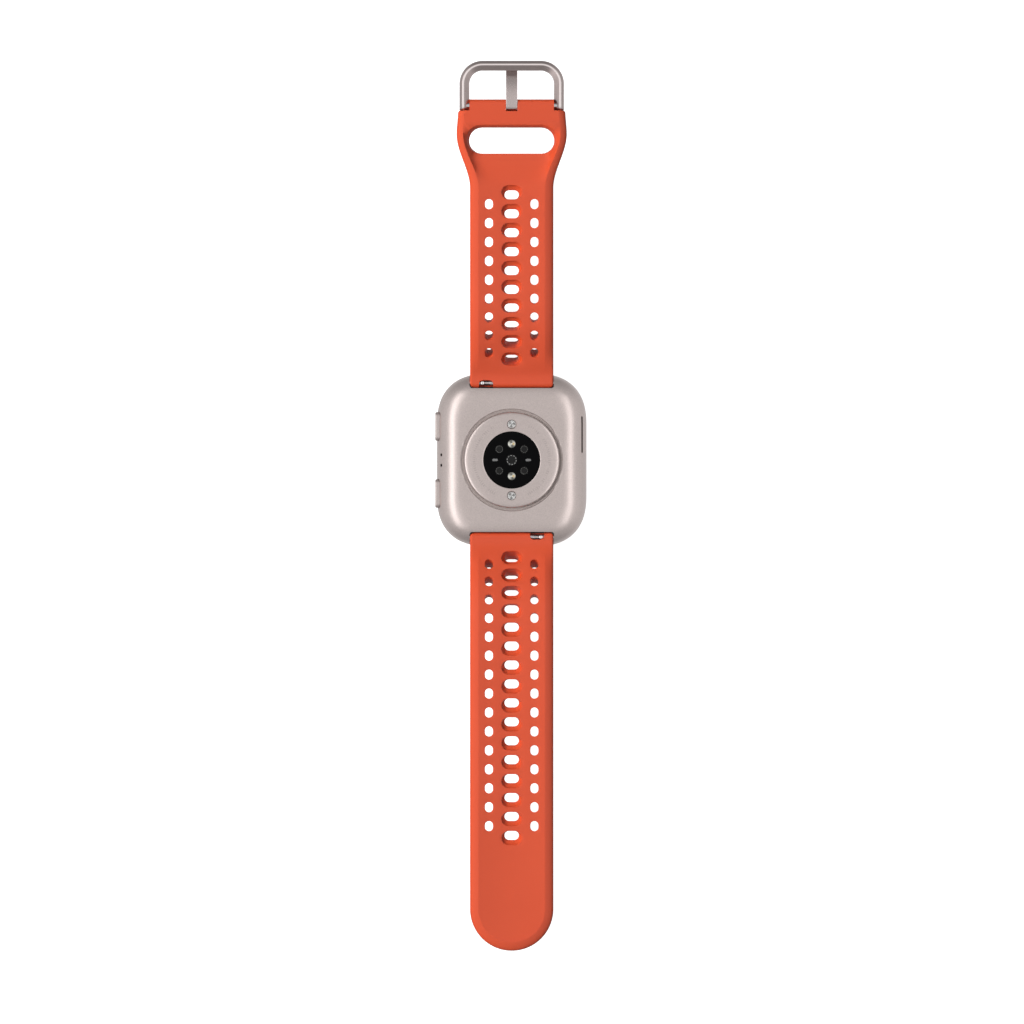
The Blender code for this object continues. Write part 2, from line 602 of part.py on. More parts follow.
# ---- buckle -------------------------------------------------------------------------------
def build_buckle():
    """U-shaped frame swept round its path, eyes at the arm ends, the pin and the tongue."""
    mid = BUCKLE_HALF - BUCKLE_BAR / 2
    corner = BUCKLE_CORNER - BUCKLE_BAR / 2
    top = BUCKLE_TOP - BUCKLE_BAR / 2
    path = [((mid, PIN_Y), 0.0)]
    for i in range(7):
        turn = math.pi / 2 * i / 6
        path.append(((mid - corner + corner * math.cos(turn), top - corner + corner * math.sin(turn)), turn))
    path += [((-x, y), math.pi - turn) for (x, y), turn in reversed(path)]
    section = ((1.31, -0.75), (1.31, 0.55), (0.85, 1.1), (0.45, 1.2), (-0.1, 1.1), (-1.31, 0.3), (-1.31, -0.85),
               (-0.95, -1.2), (0.95, -1.2))
    rings = []
    for (x, y), turn in path:
        outward = Vector((math.cos(turn), math.sin(turn), 0))
        rings.append([Vector((x, y, STRAP_MID_Z)) + outward * u + Vector((0, 0, w)) for u, w in section])
    frame = new_object("buckle_frame", loft_rings(bmesh.new(), rings), "buckle_steel")
    for side, name in ((1, "right"), (-1, "left")):
        x0, x1 = sorted((side * (mid - 1.3), side * (mid + 1.3)))
        eye = rod("eye_" + name, ARM_EYE_R, x0, x1, PIN_Y, STRAP_MID_Z, None, 20)
        join = frame.modifiers.new("eye", "BOOLEAN")
        join.operation = "UNION"
        join.solver = "EXACT"
        join.object = as_cutter(eye)
    subtract(frame, rod("cut_frame_pin", PIN_R + 0.05, -12.9, 12.9, PIN_Y, STRAP_MID_Z))
    rod("buckle_pin", PIN_R, -12.7, 12.7, PIN_Y, STRAP_MID_Z, "bar_steel")
    build_tongue()


def build_tongue():
    """A bent strip from the pin's eye to under the far side of the frame's top bar."""
    top = ((PIN_Y - 1.0, 1.05), (PIN_Y + 0.2, 1.42), (PIN_Y + 1.8, 1.45), (PIN_Y + 4.0, 0.95),
           (PIN_Y + 6.6, -0.15), (PIN_Y + 8.6, -1.15), (PIN_Y + 9.4, -1.38), (PIN_Y + 10.9, -1.38))
    thick = (1.6, 1.1, 1.0, 1.0, 1.0, 0.95, 0.9, 0.7)
    side_outline = [(y, STRAP_MID_Z + z) for y, z in top]
    side_outline += [(y, STRAP_MID_Z + z - t) for (y, z), t in reversed(list(zip(top, thick)))]
    half = TONGUE_WIDTH / 2
    rings = [[(x, y, z) for y, z in side_outline] for x in (-half, half)]
    tongue = new_object("buckle_tongue", loft_rings(bmesh.new(), rings), "buckle_steel")
    eye = rod("eye_tongue", 1.42, 0.03 - half, half - 0.03, PIN_Y, STRAP_MID_Z, None, 20)
    join = tongue.modifiers.new("eye", "BOOLEAN")
    join.operation = "UNION"
    join.solver = "EXACT"
    join.object = as_cutter(eye)
    subtract(tongue, rod("cut_tongue_bore", PIN_R + RUN + 0.02, -3, 3, PIN_Y, STRAP_MID_Z))


def main():
    clear_scene()
    build_case()
    build_display()
    build_sensor_island()
    build_internals()
    for side, name in ((1, "upper"), (-1, "lower")):
        build_button(side, name)
    build_buckle_strap()
    build_long_strap()
    build_spring_bar(1, -1, "upper")
    build_spring_bar(-1, 1, "lower")
    build_buckle()


main()
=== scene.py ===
import json
import math
import bmesh
import bpy
from mathutils import Matrix, Vector

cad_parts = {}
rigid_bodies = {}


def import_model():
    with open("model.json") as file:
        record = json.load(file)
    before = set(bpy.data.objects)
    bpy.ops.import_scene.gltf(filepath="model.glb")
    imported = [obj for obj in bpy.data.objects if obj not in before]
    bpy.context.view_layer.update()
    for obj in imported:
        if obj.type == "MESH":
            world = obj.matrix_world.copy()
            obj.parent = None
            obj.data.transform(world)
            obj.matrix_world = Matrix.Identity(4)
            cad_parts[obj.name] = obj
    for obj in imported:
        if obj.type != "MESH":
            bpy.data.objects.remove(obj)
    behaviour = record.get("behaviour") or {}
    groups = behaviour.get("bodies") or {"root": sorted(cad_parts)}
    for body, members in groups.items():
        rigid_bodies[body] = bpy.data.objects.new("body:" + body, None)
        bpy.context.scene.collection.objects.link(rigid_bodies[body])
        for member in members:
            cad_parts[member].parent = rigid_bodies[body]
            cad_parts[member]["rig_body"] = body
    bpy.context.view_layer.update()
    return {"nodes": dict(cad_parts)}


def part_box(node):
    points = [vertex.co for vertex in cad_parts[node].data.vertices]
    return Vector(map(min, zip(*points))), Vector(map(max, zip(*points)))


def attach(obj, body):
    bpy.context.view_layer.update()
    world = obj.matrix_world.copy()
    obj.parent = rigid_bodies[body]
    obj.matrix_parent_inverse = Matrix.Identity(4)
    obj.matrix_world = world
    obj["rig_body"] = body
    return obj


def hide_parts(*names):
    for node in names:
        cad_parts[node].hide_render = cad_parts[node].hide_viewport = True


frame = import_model()
scene = bpy.context.scene
mm = 0.001  # meshes are drawn in millimetres and scaled when they are finished


def boxMm(node):  # lowest and highest corner of a node, in millimetres
    low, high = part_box(node)
    return low / mm, high / mm


def centreMm(node):
    low, high = boxMm(node)
    return (low + high) / 2


def smoothStep(value):
    value = min(1.0, max(0.0, value))
    return value * value * (3 - 2 * value)


def curveTable(position, table):  # a smooth curve through (position, value) rows
    def tangent(i):
        before, after = table[max(i - 1, 0)], table[min(i + 1, len(table) - 1)]
        return (after[1] - before[1]) / (after[0] - before[0])
    i = next((i for i in range(len(table) - 1) if position <= table[i + 1][0]), len(table) - 2)
    (a, first), (b, second) = table[i], table[i + 1]
    t, width = (position - a) / (b - a), b - a
    return (first * (1 + 2 * t) * (1 - t) ** 2 + second * (3 - 2 * t) * t * t
            + width * (tangent(i) * t * (1 - t) ** 2 - tangent(i + 1) * t * t * (1 - t)))


class Wire:  # a socket that takes part in Python sums
    def __init__(self, paint, socket):
        self.paint, self.socket = paint, socket

    def sum(self, operation, first, second=None, clamp=False):
        values = {0: first} if second is None else {0: first, 1: second}
        return self.paint.node("ShaderNodeMath", {"operation": operation, "use_clamp": clamp}, values)

    def __add__(self, other): return self.sum("ADD", self, other)
    def __sub__(self, other): return self.sum("SUBTRACT", self, other)
    def __mul__(self, other): return self.sum("MULTIPLY", self, other)
    def __truediv__(self, other): return self.sum("DIVIDE", self, other)
    def __rsub__(self, other): return self.sum("SUBTRACT", other, self)
    def __pow__(self, other): return self.sum("POWER", self, other)
    __radd__, __rmul__ = __add__, __mul__

    def above(self, edge, soft):  # 0 below edge, 1 above it
        return self.sum("MULTIPLY", self - (edge - soft / 2), 1 / soft, clamp=True)

    def absolute(self): return self.sum("ABSOLUTE", self)
    def sine(self): return self.sum("SINE", self)
    def fraction(self): return self.sum("FRACT", self)


class Shading:  # a node tree and the nodes added to it
    def __init__(self, tree):
        self.tree = tree

    def node(self, kind, settings=None, values=None, output=0):
        made = self.tree.nodes.new(kind)
        for key, value in (settings or {}).items():
            setattr(made, key, value)
        for key, value in (values or {}).items():
            if isinstance(value, Wire):
                self.tree.links.new(value.socket, made.inputs[key])
            else:
                made.inputs[key].default_value = value
        return Wire(self, made.outputs[output])

    def place(self, output="Object"):
        return self.node("ShaderNodeTexCoord", output=output)

    def noise(self, where, scale, detail=2.0, rough=0.5):
        return self.node("ShaderNodeTexNoise", None,
                         {"Vector": where, "Scale": scale, "Detail": detail, "Roughness": rough})

    def parts(self, where):
        split = self.node("ShaderNodeSeparateXYZ", None, {"Vector": where})
        outputs = split.socket.node.outputs
        return [Wire(self, outputs[axis]) for axis in "XYZ"]

    def mix(self, factor, first, second):
        settings = {"data_type": "RGBA"}
        made = self.node("ShaderNodeMix", settings, {"Factor": factor}, output="Result")
        mixer = made.socket.node
        colourSockets = [s for s in mixer.inputs if s.type == "RGBA"]
        for socket, value in zip(colourSockets, (first, second)):
            if isinstance(value, Wire):
                self.tree.links.new(value.socket, socket)
            else:
                socket.default_value = (*value, 1.0)
        return Wire(self, [s for s in mixer.outputs if s.type == "RGBA"][0])

    def bump(self, height, strength, distance, normal=None):
        values = {"Height": height, "Strength": strength, "Distance": distance}
        if normal:
            values["Normal"] = normal
        return self.node("ShaderNodeBump", None, values)


class Paint(Shading):  # one material
    def __init__(self, name, **constants):
        self.material = bpy.data.materials.new(name)
        self.material.use_nodes = True
        super().__init__(self.material.node_tree)
        self.shader = self.tree.nodes["Principled BSDF"]
        for socket, value in constants.items():
            self.shader.inputs[socket.replace("_", " ")].default_value = value

    def feed(self, socket, wire):
        self.tree.links.new(wire.socket, self.shader.inputs[socket])


alloyLook = {"light": (0.67, 0.58, 0.555), "dark": (0.52, 0.45, 0.43), "roughness": 0.31}


def makeAlloy(name, marks=False):
    paint = Paint(name, Metallic=1.0)
    where = paint.place()
    blast = paint.noise(where, 3400.0, 3.0, 0.7)  # bead-blasted grain
    cloud = paint.noise(where, 90.0, 2.0)
    colour = paint.mix(blast.above(0.5, 0.4) * 0.8 + cloud * 0.2, alloyLook["dark"], alloyLook["light"])
    if marks:
        colour = addEngravedTicks(paint, where, colour)
    paint.feed("Base Color", colour)
    paint.feed("Roughness", blast * 0.10 + (cloud * 0.04 + (alloyLook["roughness"] - 0.07)))
    paint.feed("Normal", paint.bump(blast, 0.22, 0.00004))
    return paint.material


tickLook = {"radius": 9.95, "halfBand": 0.34, "count": 108.0, "colour": (0.40, 0.345, 0.33)}


def addEngravedTicks(paint, where, colour):  # faint generic ticks, left and right of the window
    x, y, z = paint.parts(where)
    radius = (x * x + y * y) ** 0.5 * 1000.0
    angle = paint.node("ShaderNodeMath", {"operation": "ARCTAN2"}, {0: y, 1: x})
    band = 1.0 - (radius - tickLook["radius"]).absolute().above(tickLook["halfBand"], 0.12)
    teeth = (angle * (tickLook["count"] / math.tau)).fraction().above(0.55, 0.2)
    sides = (x.absolute() * 1000.0).above(4.2, 0.4)
    patch = paint.noise(where, 700.0, 1.0).above(0.45, 0.12)
    return paint.mix(band * teeth * sides * patch * 0.5, colour, tickLook["colour"])


def makeSilicone(name):
    paint = Paint(name, IOR=1.42)
    where = paint.place()
    cloud = paint.noise(where, 60.0, 3.0)
    grain = paint.noise(where, 2600.0, 2.0, 0.6)
    fine = paint.noise(where, 9000.0, 1.0)
    colour = paint.mix(cloud * 0.65 + grain * 0.35, (0.545, 0.058, 0.015), (0.60, 0.069, 0.021))
    paint.feed("Base Color", colour)
    paint.feed("Roughness", grain * 0.14 + (cloud * 0.10 + 0.40))
    paint.feed("Normal", paint.bump(grain * 0.6 + fine * 0.4, 0.16, 0.00003))
    return paint.material


def makeBrushed(name, light, dark, roughness, stretch, scale=2400.0, depth=0.2, polished=None):
    paint = Paint(name, Metallic=1.0)
    where = paint.node("ShaderNodeMapping", None, {"Vector": paint.place(), "Scale": stretch})
    lines = paint.noise(where, scale, 3.0, 0.6)
    cloud = paint.noise(paint.place(), 240.0, 2.0)
    colour = paint.mix(lines * 0.7 + cloud * 0.3, dark, light)
    if polished:  # painted highlight along the frame's crease
        # the per-vertex share of the painted highlight, brightest on the crease
        edge = paint.node("ShaderNodeAttribute", {"attribute_name": "highlightShare"}, output="Fac")
        colour = paint.mix(edge, colour, polished)
    paint.feed("Base Color", colour)
    paint.feed("Roughness", lines * 0.12 + (cloud * 0.06 + (roughness - 0.09)))
    paint.feed("Normal", paint.bump(lines, depth, 0.00002))
    return paint.material


def makeGlassBlack(name, tint=(0.0012, 0.0012, 0.0014), roughness=0.07, gloss=0.05):
    paint = Paint(name, IOR=1.5, Specular_IOR_Level=gloss)
    where = paint.place()
    smear = paint.noise(where, 130.0, 3.0, 0.6)
    dust = paint.noise(where, 2600.0, 1.0).above(0.72, 0.05)
    paint.feed("Base Color", paint.mix(dust * 0.25 + smear * 0.15, tint, (0.006, 0.006, 0.007)))
    paint.feed("Roughness", smear * 0.08 + (roughness - 0.02))
    return paint.material


def makePlain(name, first, second, roughness, scale, metallic=0.0, depth=0.15):
    paint = Paint(name, Metallic=metallic)
    where = paint.place()
    grain = paint.noise(where, scale, 3.0, 0.6)
    paint.feed("Base Color", paint.mix(grain, first, second))
    paint.feed("Roughness", grain * 0.2 + (roughness - 0.1))
    paint.feed("Normal", paint.bump(grain, depth, 0.00003))
    return paint.material


def makeLensDark(name, ringRadius, dotCount, glow):
    paint = Paint(name, IOR=1.5, Specular_IOR_Level=0.12)
    u, v, w = paint.parts(paint.place("UV"))
    radius = (u * u + v * v) ** 0.5
    angle = paint.node("ShaderNodeMath", {"operation": "ARCTAN2"}, {0: v, 1: u})
    ring = 1.0 - (radius - ringRadius).absolute().above(0.075, 0.06)
    dots = (angle * (dotCount / math.tau)).fraction().above(0.42, 0.25)
    rings = (radius * 46.0).sine() * 0.5 + 0.5
    body = paint.mix(rings * (1.0 - radius).above(0.25, 0.3), (0.006, 0.006, 0.006), (0.016, 0.016, 0.016))
    paint.feed("Base Color", paint.mix(ring * dots, body, glow))
    paint.feed("Roughness", ring * 0.3 + 0.10)
    paint.feed("Normal", paint.bump(rings, 0.12, 0.00002))
    return paint.material


def makeLensLight(name):
    paint = Paint(name, IOR=1.5, Coat_Weight=0.8, Coat_Roughness=0.04)
    u, v, w = paint.parts(paint.place("UV"))
    radius = (u * u + v * v) ** 0.5
    spotRadius = ((u - 0.42) * (u - 0.42) + v * v) ** 0.5
    angle = paint.node("ShaderNodeMath", {"operation": "ARCTAN2"}, {0: v, 1: u})
    # painted reflection: lighter and darker sectors round the reflector bowl
    paintedDomeReflection = (angle * 2.0 + 0.9).sine() * 0.5 + 0.5
    bowl = paint.mix(paintedDomeReflection, (0.10, 0.10, 0.085), (0.56, 0.55, 0.49))
    phosphor = paint.mix(1.0 - spotRadius.above(0.30, 0.2), bowl, (0.62, 0.47, 0.24))
    chip = paint.mix(1.0 - radius.above(0.16, 0.1), phosphor, (0.80, 0.80, 0.72))
    rim = radius.above(0.86, 0.1)
    paint.feed("Base Color", paint.mix(rim, chip, (0.05, 0.05, 0.045)))
    paint.feed("Metallic", (1.0 - rim) * 0.5)
    paint.feed("Roughness", radius * 0.15 + 0.2)
    return paint.material


def makeContact(name):
    paint = Paint(name, Metallic=1.0)
    u, v, w = paint.parts(paint.place("UV"))
    radius = (u * u + v * v) ** 0.5
    wobble = paint.noise(paint.place("UV"), 6.0, 2.0)
    lathe = (radius * 150.0 + wobble * 2.0).sine() * 0.5 + 0.5
    angle = paint.node("ShaderNodeMath", {"operation": "ARCTAN2"}, {0: v, 1: u})
    # painted reflection: three dark sectors round the contact's turned face
    paintedFaceReflection = ((angle * 3.0 + 0.6).sine() * 0.5 + 0.5) * (1.0 - radius.above(0.88, 0.1))
    metal = paint.mix(lathe, (0.70, 0.70, 0.69), (0.88, 0.88, 0.87))
    paint.feed("Base Color", paint.mix(paintedFaceReflection.above(0.5, 0.5) * 0.75, metal, (0.22, 0.215, 0.21)))
    paint.feed("Roughness", lathe * 0.1 + 0.14)
    paint.feed("Normal", paint.bump(lathe, 0.9, 0.00003))
    return paint.material


print("materials")
looks = {
    "alloy": makeAlloy("caseAlloy"),
    "island": makeAlloy("islandAlloy", marks=True),
    "silicone": makeSilicone("strapSilicone"),
    # the buckle frame gets a painted highlight along its crease
    "buckle": makeBrushed("buckleMetal", (0.40, 0.335, 0.325), (0.32, 0.265, 0.255), 0.30, (0.3, 1.0, 1.0),
                          depth=0.12, polished=(0.92, 0.83, 0.81)),
    "tongue": makeBrushed("tongueMetal", (0.60, 0.515, 0.50), (0.55, 0.47, 0.455), 0.26, (1.0, 0.15, 1.0),
                          depth=0.05),
    "bar": makeBrushed("barSteel", (0.66, 0.66, 0.67), (0.50, 0.50, 0.51), 0.20, (0.1, 1.0, 1.0)),
    "knob": makeBrushed("knobSteel", (0.80, 0.80, 0.80), (0.68, 0.68, 0.68), 0.16, (1.0, 1.0, 0.2)),
    "windowGlass": makeGlassBlack("windowGlass"),
    "displayGlass": makeGlassBlack("displayGlass", (0.003, 0.003, 0.004), 0.05, 0.4),
    "lensDark": makeLensDark("lensDark", 0.80, 12.0, (0.085, 0.085, 0.08)),
    "lensCentre": makeLensDark("lensCentre", 0.80, 10.0, (0.20, 0.20, 0.195)),
    "lensLight": makeLensLight("lensLight"),
    "bars": makePlain("barLens", (0.10, 0.10, 0.10), (0.17, 0.17, 0.17), 0.35, 3000.0),
    "contact": makeContact("contactFace"),
    "seal": makePlain("sealRubber", (0.012, 0.010, 0.010), (0.03, 0.027, 0.026), 0.65, 1800.0),
    "grooveSeal": makePlain("grooveSeal", (0.24, 0.195, 0.18), (0.30, 0.25, 0.235), 0.6, 1800.0),
    "board": makePlain("boardMask", (0.006, 0.05, 0.02), (0.012, 0.09, 0.04), 0.42, 900.0),
    "cell": makePlain("cellFoil", (0.30, 0.31, 0.33), (0.42, 0.43, 0.45), 0.42, 500.0, metallic=0.8),
    "plastic": makePlain("mouldedPlastic", (0.012, 0.012, 0.012), (0.03, 0.03, 0.03), 0.5, 2400.0),
    "gold": makePlain("antennaGold", (0.62, 0.45, 0.2), (0.74, 0.56, 0.28), 0.32, 900.0, metallic=1.0),
}


def finishPiece(bm, name, look, body, nodes, merge=1e-4, sharp=32.0, flat=False):
    bmesh.ops.remove_doubles(bm, verts=bm.verts, dist=merge)
    bmesh.ops.recalc_face_normals(bm, faces=bm.faces)
    bmesh.ops.scale(bm, vec=(mm, mm, mm), verts=bm.verts)
    mesh = bpy.data.meshes.new(name)
    bm.to_mesh(mesh)
    bm.free()
    if not flat:
        mesh.shade_smooth()
        mesh.set_sharp_from_angle(angle=math.radians(sharp))
    piece = bpy.data.objects.new(name, mesh)
    scene.collection.objects.link(piece)
    mesh.materials.append(looks[look])
    if body:
        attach(piece, body)
        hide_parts(*nodes)
    return piece


def cutAway(piece, cutters, sharp=32.0, folded=False):  # Booleans, applied, and their tools removed
    for cutter in cutters:
        step = piece.modifiers.new("cut", "BOOLEAN")
        step.operation, step.solver, step.object, step.use_self = "DIFFERENCE", "EXACT", cutter, folded
    bpy.context.view_layer.update()
    graph = bpy.context.evaluated_depsgraph_get()
    mesh = bpy.data.meshes.new_from_object(piece.evaluated_get(graph), depsgraph=graph)
    piece.modifiers.clear()
    piece.data = mesh
    for cutter in cutters:
        bpy.data.objects.remove(cutter)
    mesh.shade_smooth()
    mesh.set_sharp_from_angle(angle=math.radians(sharp))
    return piece


def addRings(bm, edges, positions):  # extrudes a loop of edges once for each position function
    for position in positions:
        grown = bmesh.ops.extrude_edge_only(bm, edges=edges)["geom"]
        edges = [item for item in grown if isinstance(item, bmesh.types.BMEdge)]
        for vert in {v for edge in edges for v in edge.verts}:
            vert.co = position(vert)
    return edges


# rings are functions of an angle that give a point
def ringSolid(segments, rings, capFirst=True, capLast=True):
    bm = bmesh.new()
    turn = bm.verts.layers.float.new("turn")
    circle = bmesh.ops.create_circle(bm, segments=segments, radius=1.0, cap_ends=False)["verts"]
    for vert in circle:
        vert[turn] = math.atan2(vert.co.y, vert.co.x)
        vert.co = rings[0](vert[turn])
    edges = list(bm.edges)
    if capFirst:
        bmesh.ops.contextual_create(bm, geom=edges)
    last = addRings(bm, edges, [lambda v, ring=ring: Vector(ring(v[turn])) for ring in rings[1:]])
    if capLast:
        bmesh.ops.contextual_create(bm, geom=last)
    return bm


def turnedSolid(profile, segments=64):  # spins (radius, height) points about Z
    bm = bmesh.new()
    verts = [bm.verts.new((radius, 0, height)) for radius, height in profile]
    edges = [bm.edges.new(pair) for pair in zip(verts, verts[1:])]
    if profile[0][0] > 0 or profile[-1][0] > 0:
        edges.append(bm.edges.new((verts[-1], verts[0])))
    bmesh.ops.spin(bm, geom=verts + edges, cent=(0, 0, 0), axis=(0, 0, 1), angle=math.tau,
                   steps=segments, use_merge=True)
    return bm


def move(bm, x=0.0, y=0.0, z=0.0, turn=None):
    matrix = Matrix.Translation((x, y, z)) @ (turn or Matrix.Identity(4))
    bmesh.ops.transform(bm, matrix=matrix, verts=bm.verts)
    return bm


def roundedSlot(angle, halfX, halfY):  # round ends; the angle is measured at an end's centre
    radius = min(halfX, halfY)
    dx, dy = math.cos(angle), math.sin(angle)
    return math.copysign(halfX - radius, dx) + radius * dx, math.copysign(halfY - radius, dy) + radius * dy


def slotSolid(halfX, halfY, levels, segments=48):  # levels are (inset, height)
    def ring(inset, height):
        return lambda a: (*roundedSlot(a, halfX - inset, halfY - inset), height)
    return ringSolid(segments, [ring(*level) for level in levels])


caseLow, caseHigh = boxMm("case_body")
caseShape = {
    "halfX": (caseHigh.x - caseLow.x) / 2, "halfY": (caseHigh.y - caseLow.y) / 2,
    "cornerZone": 13.6, "cornerPower": 2.45, "segments": 288,
    "grooveRadius": 13.42, "seatZ": 8.35, "holeRadius": 11.2, "wall": 2.4, "cavityHalfY": 17.7,
    # how far in from the widest outline, and the height there, from the display edge to the back
    "side": ((0.66, 1.28), (0.66, 0.62), (0.58, 0.52), (0.42, 0.55), (0.22, 0.78), (0.08, 1.2), (0.01, 1.75),
             (0.0, 2.3), (0.03, 3.0), (0.13, 3.8), (0.30, 4.5), (0.55, 5.2), (0.9, 5.9), (1.35, 6.5),
             (1.9, 7.06), (2.5, 7.53), (3.2, 7.95), (4.0, 8.32), (4.9, 8.61), (5.9, 8.82)),
    "backZ": 9.05, "back": ((5.9, 8.82), (7.2, 8.95), (8.6, 9.02), (10.0, 9.05), (14.0, 9.05)),
    "inner": ((5.2, 7.55), (3.0, 6.6), (2.4, 5.6), (2.4, 3.3)),
    "front": ((2.0, 3.2), (2.0, 1.28)),
}


def roundedCase(angle, halfX, halfY, zone, power):  # the case outline met by a ray from the centre
    dx, dy = abs(math.cos(angle)), abs(math.sin(angle))
    far = min(halfX / max(dx, 1e-9), halfY / max(dy, 1e-9))
    if dx * far <= halfX - zone or dy * far <= halfY - zone:
        return far * math.cos(angle), far * math.sin(angle)
    near = far * 0.6
    for step in range(40):
        middle = (near + far) / 2
        overX = max(dx * middle - (halfX - zone), 0.0) / zone
        overY = max(dy * middle - (halfY - zone), 0.0) / zone
        if overX ** power + overY ** power > 1.0:
            far = middle
        else:
            near = middle
    return far * math.cos(angle), far * math.sin(angle)


def backRing(share):  # from the last side ring to the circle of the island's groove
    shape = caseShape
    start = shape["side"][-1][0]
    widest, last = caseRing(0.0, 0.0), caseRing(start, 0.0)

    def ring(angle):
        outer, inner = math.hypot(*widest(angle)[:2]), math.hypot(*last(angle)[:2])
        radius = inner + (shape["grooveRadius"] + 0.16 - inner) * share
        inset = start * (outer - radius) / (outer - inner)
        return radius * math.cos(angle), radius * math.sin(angle), curveTable(inset, shape["back"])
    return ring


def caseRing(inset, height, halfY=None):
    shape = caseShape
    halfX = shape["halfX"] - inset
    halfY = halfY or shape["halfY"] - inset
    zone = max(shape["cornerZone"] - inset * 0.75, 3.0)

    def ring(angle):
        return *roundedCase(angle, halfX, halfY, zone, shape["cornerPower"]), height
    return ring


def strapNotch(side):  # the hollow in the case's end: a prism with rounded inner corners
    axis = centreMm("bar_tube_upper" if side > 0 else "bar_tube_lower")
    half = (boxMm("bar_tube_upper")[1].x - boxMm("bar_tube_upper")[0].x) / 2 + 0.35
    wall, floor = abs(axis.y) - 1.37, axis.z - 1.42
    outline = ((wall, 12.0), (wall, floor + 0.5), (wall + 0.15, floor + 0.15), (wall + 0.5, floor),
               (wall + 1.42, floor), (wall + 2.72, floor - 0.76), (wall + 4.27, floor - 1.78),
               (wall + 7.0, floor - 3.6), (wall + 7.0, 12.0))
    bm = bmesh.new()
    face = bm.faces.new([bm.verts.new((-half, side * y, z)) for y, z in outline])
    grown = bmesh.ops.extrude_face_region(bm, geom=[face])["geom"]
    moved = [item for item in grown if isinstance(item, bmesh.types.BMVert)]
    bmesh.ops.translate(bm, vec=(2 * half, 0, 0), verts=moved)
    corners = [e for e in bm.edges if all(abs(abs(v.co.x) - half) < 1e-3 and abs(abs(v.co.y) - wall) < 1e-3
                                          for v in e.verts)]
    bmesh.ops.bevel(bm, geom=corners, offset=0.8, offset_type="OFFSET", segments=8, profile=0.5,
                    affect="EDGES", material=-1)
    return finishPiece(bm, "notchTool", "alloy", None, ())


def buildCase():
    shape = caseShape
    sideRings = [caseRing(*level) for level in shape["side"]]
    backRings = [backRing(share) for share in (0.1, 0.22, 0.36, 0.5, 0.64, 0.78, 0.9)]
    radius = shape["grooveRadius"]

    def circle(r, height):
        return lambda a: (r * math.cos(a), r * math.sin(a), height)
    def lipRing(angle):
        inside = backRing(0.96)(angle)[2] + 0.005
        return (radius + 0.13) * math.cos(angle), (radius + 0.13) * math.sin(angle), inside
    lip = [lipRing, circle(radius + 0.05, shape["backZ"] - 0.09), circle(radius, shape["backZ"] - 0.2),
           circle(radius, shape["seatZ"]),
           circle(shape["holeRadius"], shape["seatZ"]), circle(shape["holeRadius"], 7.9)]
    inner = [caseRing(inset, height, halfY=shape["cavityHalfY"] - max(inset - shape["wall"], 0))
             for inset, height in shape["inner"]]
    front = [caseRing(inset, height) for inset, height in shape["front"]]
    bm = ringSolid(shape["segments"], sideRings + backRings + lip + inner + front, False, False)
    first = [e for e in bm.edges if e.is_boundary]
    bmesh.ops.bridge_loops(bm, edges=first)
    case = finishPiece(bm, "caseShell", "alloy", "case", ["case_body"])
    return cutAway(case, [strapNotch(1), strapNotch(-1), *sideTools()], sharp=28.0)


def sideTools():  # pockets of the buttons, microphone holes, speaker slot
    tools = []
    for node in ("button_upper", "button_lower"):
        low, high = boxMm(node)
        middle = (low + high) / 2
        halfLong, halfTall = (high.y - low.y) / 2 + 0.1, (high.z - low.z) / 2 + 0.1
        pocket = slotSolid(halfLong, halfTall, ((0, 18.45), (0, 19.3), (-0.25, 20.6)), 56)
        outwards = Matrix.Rotation(-math.pi / 2, 4, "Y") @ Matrix.Rotation(math.pi / 2, 4, "Z")
        move(pocket, 0, middle.y, middle.z, outwards)
        tools.append(finishPiece(pocket, "pocketTool", "alloy", None, ()))
    lean = math.radians(55)
    for y in (1.36, -1.4):
        hole = turnedSolid(((0, -2.6), (0.40, -2.6), (0.40, 0.0), (0.58, 0.3), (0.58, 2.5), (0, 2.5)), 24)
        move(hole, -18.62, y, 6.28, Matrix.Rotation(-lean, 4, "Y"))
        tools.append(finishPiece(hole, "holeTool", "alloy", None, ()))
    slot = slotSolid(4.85, 0.30, ((0, -2.6), (0, 0.0), (-0.1, 0.25), (-0.1, 2.5)), 56)
    move(slot, 18.62, 6.7, 6.28, Matrix.Rotation(lean, 4, "Y") @ Matrix.Rotation(math.pi / 2, 4, "Z"))
    tools.append(finishPiece(slot, "slotTool", "alloy", None, ()))
    return tools


print("case")
buildCase()


glassShape = {"inset": 0.74, "levels": ((1.7, 0.0), (1.25, 0.012), (0.85, 0.05), (0.5, 0.13), (0.24, 0.26),
                                        (0.08, 0.44), (0.0, 0.66), (0.0, 1.0))}


def buildDisplay():
    rings = [caseRing(glassShape["inset"] + drop, height) for drop, height in glassShape["levels"]]
    bm = ringSolid(240, rings)
    finishPiece(bm, "frontGlass", "displayGlass", "case", ["display_glass"])


print("display")
buildDisplay()


islandShape = {
    "profile": ((10.2, 8.75), (7.53, 8.75), (7.53, 9.84), (7.56, 9.92), (7.66, 9.97), (7.85, 9.99),
                (8.8, 9.96), (9.8, 9.90), (10.7, 9.81), (11.4, 9.71), (11.9, 9.61), (12.25, 9.51),
                (12.42, 9.43), (12.54, 9.32), (12.61, 9.16), (12.63, 8.95), (12.63, 8.5), (11.0, 8.5),
                (11.0, 8.05), (10.2, 8.05)),
    "contactHole": ((0, 8.0), (1.13, 8.0), (1.13, 9.74), (1.3, 9.95), (1.3, 11.0), (0, 11.0)),
    "contact": ((0, 8.3), (1.06, 8.3), (1.06, 9.72), (1.03, 9.82), (0.93, 9.88), (0.5, 9.9), (0.0, 9.905)),
    "window": ((0, 9.35), (7.45, 9.35), (7.45, 9.80), (7.43, 9.85), (7.36, 9.90), (7.2, 9.935)),
    "windowRows": (6.6, 6.0, 5.4, 4.8, 4.2, 3.6, 3.0, 2.4, 1.8, 1.2, 0.6, 0.0),
}


